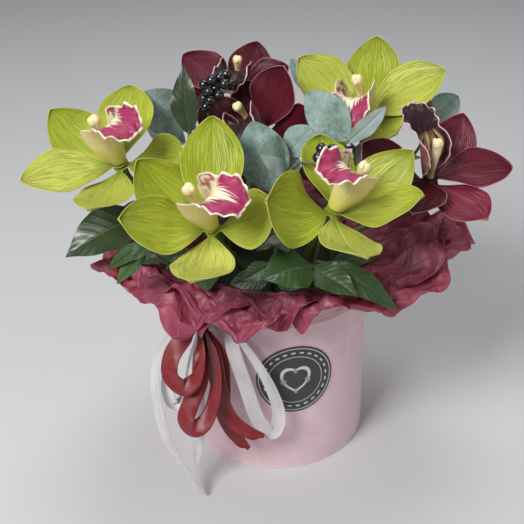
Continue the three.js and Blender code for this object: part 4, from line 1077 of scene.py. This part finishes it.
def lip(scale, curl, seed):
    """The lip on a grid: a path whose heading swings from forward to down carries a trough of a given
    half width and fold; its edges are frilled, most on the front lobe, and two keels run up the throat."""
    length = LIP_LENGTH * scale
    s, t = np.meshgrid(np.linspace(0, 1, 79), np.sin(0.5 * np.pi * np.linspace(-1, 1, 45)), indexing="ij")
    heading, half, fold = eased(LIP_STOPS, s)
    heading, fold, half = np.radians(heading * curl), np.radians(fold), half * scale
    pace = length / 78
    down = np.cumsum(np.sin(heading), axis=0) * pace
    ahead = np.cumsum(np.cos(heading), axis=0) * pace
    middle = np.stack([0 * s, -HUB_RADIUS + 0.6 - down, HUB_HEIGHT + 0.8 + ahead], -1)
    inner = np.stack([0 * s, np.cos(heading), np.sin(heading)], -1)
    bend = half / fold
    across = np.array([1.0, 0, 0])
    wide = np.abs(t)
    frill = step(wide, 0.7, 1.0) * (0.35 + 0.95 * step(s, 0.5, 0.75)) * step(s, 0.05, 0.2)
    frill = frill * np.sin(2 * np.pi * (8.5 * s + seed) + 1.1 * np.sign(t))
    end_frill = 0.9 * step(s, 0.86, 1.0) * np.sin(9 * t + 6 * seed)
    blister = 0.35 * np.sin(26 * s + 5 * seed) * np.cos(7 * t) * step(s, 0.62, 0.8)
    keels = 0.9 * np.exp(-(((wide * half - 2.1) / 0.9) ** 2)) * step(s, 0.18, 0.3) * step(s, 0.74, 0.62)
    raised = (1.25 * frill + end_frill + blister + keels) * scale
    middle = middle + (bend * np.sin(fold * t))[..., None] * across
    middle = middle + (bend * (1 - np.cos(fold * t)) + raised)[..., None] * inner
    edge = np.minimum(half * (1 - wide), (1 - s) * length)
    return skin(middle, 0.45 + 0.45 * (1 - wide**2), *marks(s, t, edge, seed))


def column(scale, seed):
    """The column: a bar that arches over the lip, broad at its wings, with a cap of two lobes."""
    foot = HUB_HEIGHT + 0.6
    points = np.array([[0, 0, 0], [0, 0.4, 4.5], [0, 2.6, 13.5], [0, 4.2, 22.5], [0, 4, 30]]) * scale
    points = points + [0, 0, foot]
    path = spline(points, 34)
    s = np.linspace(0, 1, 34)
    radii = scale * (2.9 - 0.5 * np.sin(np.pi * s) + 0.7 * step(s, 0.6, 0.95))
    end = path[-1]
    lobes = [
        ball(end + np.array([x, 0.2, 0.2]) * scale, np.array([2.5, 3.3, 3.6]) * scale, seed=seed, tone=1.0)
        for x in (-1.2, 1.2)
    ]
    beak = ball(end + np.array([0, -2.9, 1.2]) * scale, np.array([1.5, 1.5, 1.9]) * scale, seed=seed, tone=1.0)
    return joined([tube(path, radii, 18, seed, flat=0.85), *lobes, beak])


def stem_path(foot, end, direction):
    """A stem rises straight from its hole in the foam, then bends to meet a point along a direction."""
    top = np.array([*foot, FOAM_TOP + 3.0])
    end, direction = np.asarray(end, float), np.asarray(direction, float)
    reach = 0.4 * np.linalg.norm(end - top)
    straight = bezier(top - [0, 0, 37], top, count=6)[:-1]
    bent = bezier(top, top + [0, 0, reach], end - direction * reach, end, count=34)
    return np.vstack([straight, bent])


for number, (name, centre, turn, rise, roll, sepals, petals, foot, curl) in enumerate(HEADS):
    burgundy = name.startswith("burgundy")
    look = facing(turn, rise)
    upward = unit(np.array([0, 0, 1.0]) - look * look[2])
    sideways = np.cross(upward, look)
    spin = math.radians(roll)
    dorsal = upward * math.cos(spin) - sideways * math.sin(spin)
    axes = np.array([np.cross(dorsal, look), dorsal, look])

    def placed(shape):
        return (shape[0] @ axes + np.array(centre), *shape[1:])

    width, scale = (31.0, 0.85) if burgundy else (35.0, 1.0)
    tepal_finish, tepal_slot = (BURGUNDY_TEPAL, "burgundy_tepal") if burgundy else (GREEN_TEPAL, "green_tepal")
    seed = 0.13 + 0.29 * number
    outer, inner = (
        [tepal(*row[:5], row[5] if len(row) > 5 else 1.0, width, whorl, seed + 0.17 * k + begin)
         for k, row in enumerate(rows)]
        for rows, whorl, begin in ((sepals, SEPAL_WHORL, 0.0), (petals, PETAL_WHORL, 0.6))
    )
    outer.append(ball((0, 0, -1.1), (5.0, 5.0, 1.0), seed=seed, sides=28))
    inner.append(ball((0, 0, 1.3), (4.8, 4.8, 1.1), seed=seed, sides=28))
    piece(f"{name}_outer_tepals", placed(joined(outer)), tepal_finish, tepal_slot, f"{name}_sepals")
    piece(f"{name}_inner_tepals", placed(joined(inner)), tepal_finish, tepal_slot, f"{name}_petals")
    piece(f"{name}_frilled_lip", placed(lip(scale, curl, seed)), MAROON_LIP if burgundy else CREAM_LIP,
          "burgundy_lip" if burgundy else "green_lip", f"{name}_lip")
    piece(f"{name}_waxy_column", placed(column(scale, seed)), COLUMN, "column_cream", f"{name}_column")
    path = stem_path(foot, np.array(centre) - look * 2.3, look)
    s = np.linspace(0, 1, len(path))
    radii = 1.95 + 0.8 * step(s, 0.93, 1.0) + 0.06 * np.sin(90 * s)
    piece(f"{name}_stalk", tube(path, radii, 16, seed), STALK, "flower_stem", f"{name}_stem")

# ---------------------------------------------------------------- foliage and berries

# A leaf is base, tip, width, the turn and rise that it faces, and its tone.
ROUND = dict(widest=0.5, fullness=0.7, arch=0.05, fold=0.08, ruffle=0.5)
POINTED = dict(widest=0.42, fullness=1.0, arch=0.08, fold=0.12, ruffle=0.9)
SMALL = dict(widest=0.5, fullness=1.0, arch=0.05, fold=0.1, ruffle=0.3)
SPRIGS = [
    ("eucalyptus_left", EUCALYPTUS, "eucalyptus_leaf", ROUND, (-30, 22), (-51, 38, 197), [
        [(-54, 32, 206), (-81, 24, 233), 29, -10, 35, 0.0], [(-56, 34, 196), (-80, 34, 208), 20, -5, 50, 0.1]]),
    ("eucalyptus_centre", EUCALYPTUS, "eucalyptus_leaf", ROUND, (2, -14), (6, -18, 203), [
        [(0, -24, 186), (-12, -13, 227), 31, -5, 35, 0.0], [(9, -19, 204), (-8, -35, 216), 24, 5, 35, 0.1],
        [(8, -14, 205), (24, -6, 220), 20, 15, 40, 0.15], [(7, -20, 191), (9, -10, 208), 17, 15, 35, 0.0]]),
    ("eucalyptus_right", EUCALYPTUS, "eucalyptus_leaf", ROUND, (26, -8), (50, 0, 204), [
        [(45, -12, 213), (21, -1, 240), 25, -10, 35, 0.0], [(43, -19, 214), (65, -22, 237), 12, 30, 20, 0.75],
        [(50, 0, 190), (57, 8, 204), 10, 30, 25, 0.1]]),
    ("eucalyptus_far", EUCALYPTUS, "eucalyptus_leaf", ROUND, (38, 24), (103, 45, 202), [
        [(104, 44, 203), (123, 50, 217), 20, 10, 30, 0.15], [(101, 44, 202), (98, 50, 221), 14, -30, 30, 0.0]]),
    ("eucalyptus_back", EUCALYPTUS, "eucalyptus_leaf", ROUND, (12, 42), (30, 60, 214), [
        [(29, 60, 216), (14, 66, 240), 12, -40, 60, 0.2], [(30, 60, 218), (51, 68, 234), 7, -50, 60, 0.3],
        [(30, 61, 200), (44, 92, 196), 24, 160, 50, 0.0], [(24, 58, 180), (8, 98, 176), 26, 190, 50, 0.0]]),
    ("dark_leaves_left", DARK_LEAF, "dark_leaf", POINTED, (-44, -14), (-66, -18, 166), [
        [(-80, -20, 171), (-126, -40, 154), 34, -15, 55, 0.0], [(-70, -8, 158), (-112, 14, 152), 30, -90, 55, 0.0],
        [(-54, -22, 144), (-84, -40, 148), 20, -40, 60, 0.1]]),
    ("dark_leaves_front", DARK_LEAF, "dark_leaf", POINTED, (30, -22), (24, -56, 154), [
        [(20, -66, 158), (-9, -84, 161), 28, 0, 55, 0.8], [(19, -64, 156), (45, -84, 148), 19, 15, 50, 0.5],
        [(27, -60, 157), (69, -82, 136), 17, 20, 50, 0.6],
        [(34, -30, 137), (62, -34, 145), 20, 60, 60, 0.2], [(30, -38, 138), (36, -66, 141), 18, 10, 60, 0.2]]),
    ("dark_leaf_upright", DARK_LEAF, "dark_leaf", POINTED, (-38, 14), (-52, 18, 206), [
        [(-52, 18, 208), (-53, 26, 250), 18, -15, 25, 0.0]]),
    ("dark_leaves_back", DARK_LEAF, "dark_leaf", POINTED, (-22, 42), (-40, 62, 190), [
        [(-46, 58, 192), (-84, 66, 204), 26, -160, 50, 0.1], [(-40, 64, 184), (-34, 104, 176), 30, 180, 50, 0.0],
        [(-36, 58, 166), (-66, 88, 158), 28, 210, 50, 0.2], [(-34, 58, 158), (-6, 92, 154), 28, 170, 50, 0.1]]),
    ("dark_leaves_right", DARK_LEAF, "dark_leaf", POINTED, (30, 38), (62, 48, 170), [
        [(68, 50, 172), (108, 66, 166), 28, 120, 55, 0.1], [(60, 54, 164), (62, 98, 158), 30, 170, 55, 0.0],
        [(64, 40, 152), (112, 24, 152), 28, 90, 55, 0.3]]),
    ("small_leaves_left", SMALL_LEAF, "small_leaf", SMALL, (-36, -22), (-71, -54, 169), [
        [(-72, -55, 172), (-95, -76, 165), 10, 0, 55, 0.3], [(-73, -59, 170), (-90, -80, 158), 10, 0, 55, 0.6],
        [(-70, -57, 173), (-81, -80, 172), 10, 0, 55, 0.1],
        [(-42, -32, 140), (-40, -64, 142), 18, -20, 60, 0.3], [(-44, -30, 146), (-66, -50, 148), 16, -50, 60, 0.4]]),
    ("small_leaves_front", SMALL_LEAF, "small_leaf", SMALL, (-2, -40), (0, -57, 174), [
        [(0, -58, 177), (-11, -70, 171), 10, 0, 55, 0.2], [(0, -58, 177), (7, -70, 170), 10, 0, 55, 0.5],
        [(-3, -44, 137), (-28, -54, 140), 16, -10, 60, 0.3], [(0, -46, 139), (18, -62, 141), 16, 10, 60, 0.2],
        [(-1, -51, 152), (-20, -66, 149), 13, 0, 55, 0.5], [(1, -52, 158), (20, -66, 153), 12, 10, 55, 0.6]]),
]
BERRY_SPRIGS = [
    ("berries_back", (-33, 7), (-39, 19, 223), [],
     [(-41, 20, 239), (-36, 16, 243), (-31, 21, 243), (-27, 24, 244), (-38, 13, 237), (-34, 18, 237),
      (-28, 14, 241), (-41, 15, 232), (-37, 11, 232), (-32, 14, 234), (-40, 14, 227), (-24, 20, 239)]),
    ("berries_front", (12, 4), (9, -40, 206), [(24, -45, 211)],
     [(27, -41, 220), (33, -40, 219), (25, -44, 216), (31, -43, 214)]),
]
BERRY_RADIUS = 3.3


def blade(base, tip, width, turn, rise, tone, form, seed):
    """A leaf blade on a grid, from base to tip: arched along its length, folded at its midrib, with a
    margin that ruffles, and skin that swells a little between its side veins."""
    u, t = grid(40, 24)
    base, tip = np.asarray(base, float), np.asarray(tip, float)
    length = np.linalg.norm(tip - base)
    along = (tip - base) / length
    front = facing(turn, rise)
    front = unit(front - along * (front @ along))
    side = np.cross(along, front)
    half = np.maximum(0.5 * width * outline(u, form["widest"], form["fullness"]), 0.9 - 0.7 * u)
    wide = np.abs(t)
    arch = form["arch"] * length * np.sin(np.pi * u)
    ruffle = form["ruffle"] * wide**2.5 * np.sin(np.pi * u)
    ruffle = ruffle * np.sin(2 * np.pi * (2.6 * u + seed) + 1.7 * np.sign(t))
    swell = 0.07 * np.sin(2 * np.pi * (9 * u - 2 * wide)) * np.sin(np.pi * wide) * np.sin(np.pi * u)
    groove = -0.5 * np.exp(-((t * half / 0.7) ** 2)) * step(u, 1.0, 0.8)
    lifted = arch + form["fold"] * half * wide + ruffle + swell + groove
    middle = base + (u * length)[..., None] * along + (t * half)[..., None] * side + lifted[..., None] * front
    thickness = 0.3 + 0.35 * np.exp(-((t * half / 0.9) ** 2))
    edge = np.minimum(half * (1 - wide), (1 - u) * length)
    return skin(middle, thickness, *marks(u, t, edge, seed, tone))


def nearest(path, place):
    return path[np.argmin(np.linalg.norm(path - place, axis=1))]


def twigs_of(foot, top, ends):
    """The main twig, and side twigs that leave it a little below their ends."""
    main = stem_path(foot, top, (0, 0, 1))
    paths = [main]
    for end in ends:
        start = nearest(main, np.asarray(end, float) - [0, 0, 6])
        bend = 0.6 * start + 0.4 * np.asarray(end, float)
        bend[2] = 0.5 * (start[2] + end[2]) + 8
        paths.append(bezier(start, bend, end, count=16))
    return paths


def stalk_from(paths, place):
    """The point of any twig nearest to a place a little below a leaf's base."""
    below = np.asarray(place, float) - [0, 0, 6]
    found = np.array([nearest(path, below) for path in paths])
    return nearest(found, np.asarray(place, float))


def bar_taper(path, first, last, sides=10):
    return tube(path, np.linspace(first, last, len(path)), sides)


for number, (name, finish, slot, form, foot, top, leaves) in enumerate(SPRIGS):
    paths = twigs_of(foot, top, [])
    shapes, woody = [], [bar_taper(paths[0], 1.4, 1.0)]
    for k, (base_point, tip, width, turn, rise, tone) in enumerate(leaves):
        base_point, tip = np.asarray(base_point, float), np.asarray(tip, float)
        along = unit(tip - base_point)
        start = stalk_from(paths, base_point)
        stalk = bezier(start, base_point - along * 6, base_point + along * 3, count=12)
        woody.append(bar_taper(stalk, 0.9, 0.55, 8))
        shapes.append(blade(base_point, tip, width, turn, rise, tone, form, 0.21 * number + 0.37 * k))
    piece(f"{name}_blades", joined(shapes), finish, slot, name)
    piece(f"{name}_twigs", joined(woody), BARK, slot)

for name, foot, top, ends, berries in BERRY_SPRIGS:
    paths = twigs_of(foot, top, ends)
    woody = [bar_taper(path, 1.4 if k == 0 else 1.1, 0.8) for k, path in enumerate(paths)]
    fruit = []
    for k, place in enumerate(berries):
        place = np.asarray(place, float)
        start = stalk_from(paths, place)
        woody.append(bar_taper(bezier(start, place, count=8), 0.7, 0.6, 8))
        away = unit(place - start)
        fruit.append(ball(place, (BERRY_RADIUS, BERRY_RADIUS, BERRY_RADIUS * 0.96), sides=28, seed=0.2 * k))
        fruit.append(ball(place + away * (BERRY_RADIUS - 0.1), (0.75, 0.75, 0.55), sides=12, seed=0.2 * k))
    piece(f"{name}_fruit", joined(fruit), BERRY, "black_berry", name)
    piece(f"{name}_twigs", joined(woody), BARK, "black_berry")
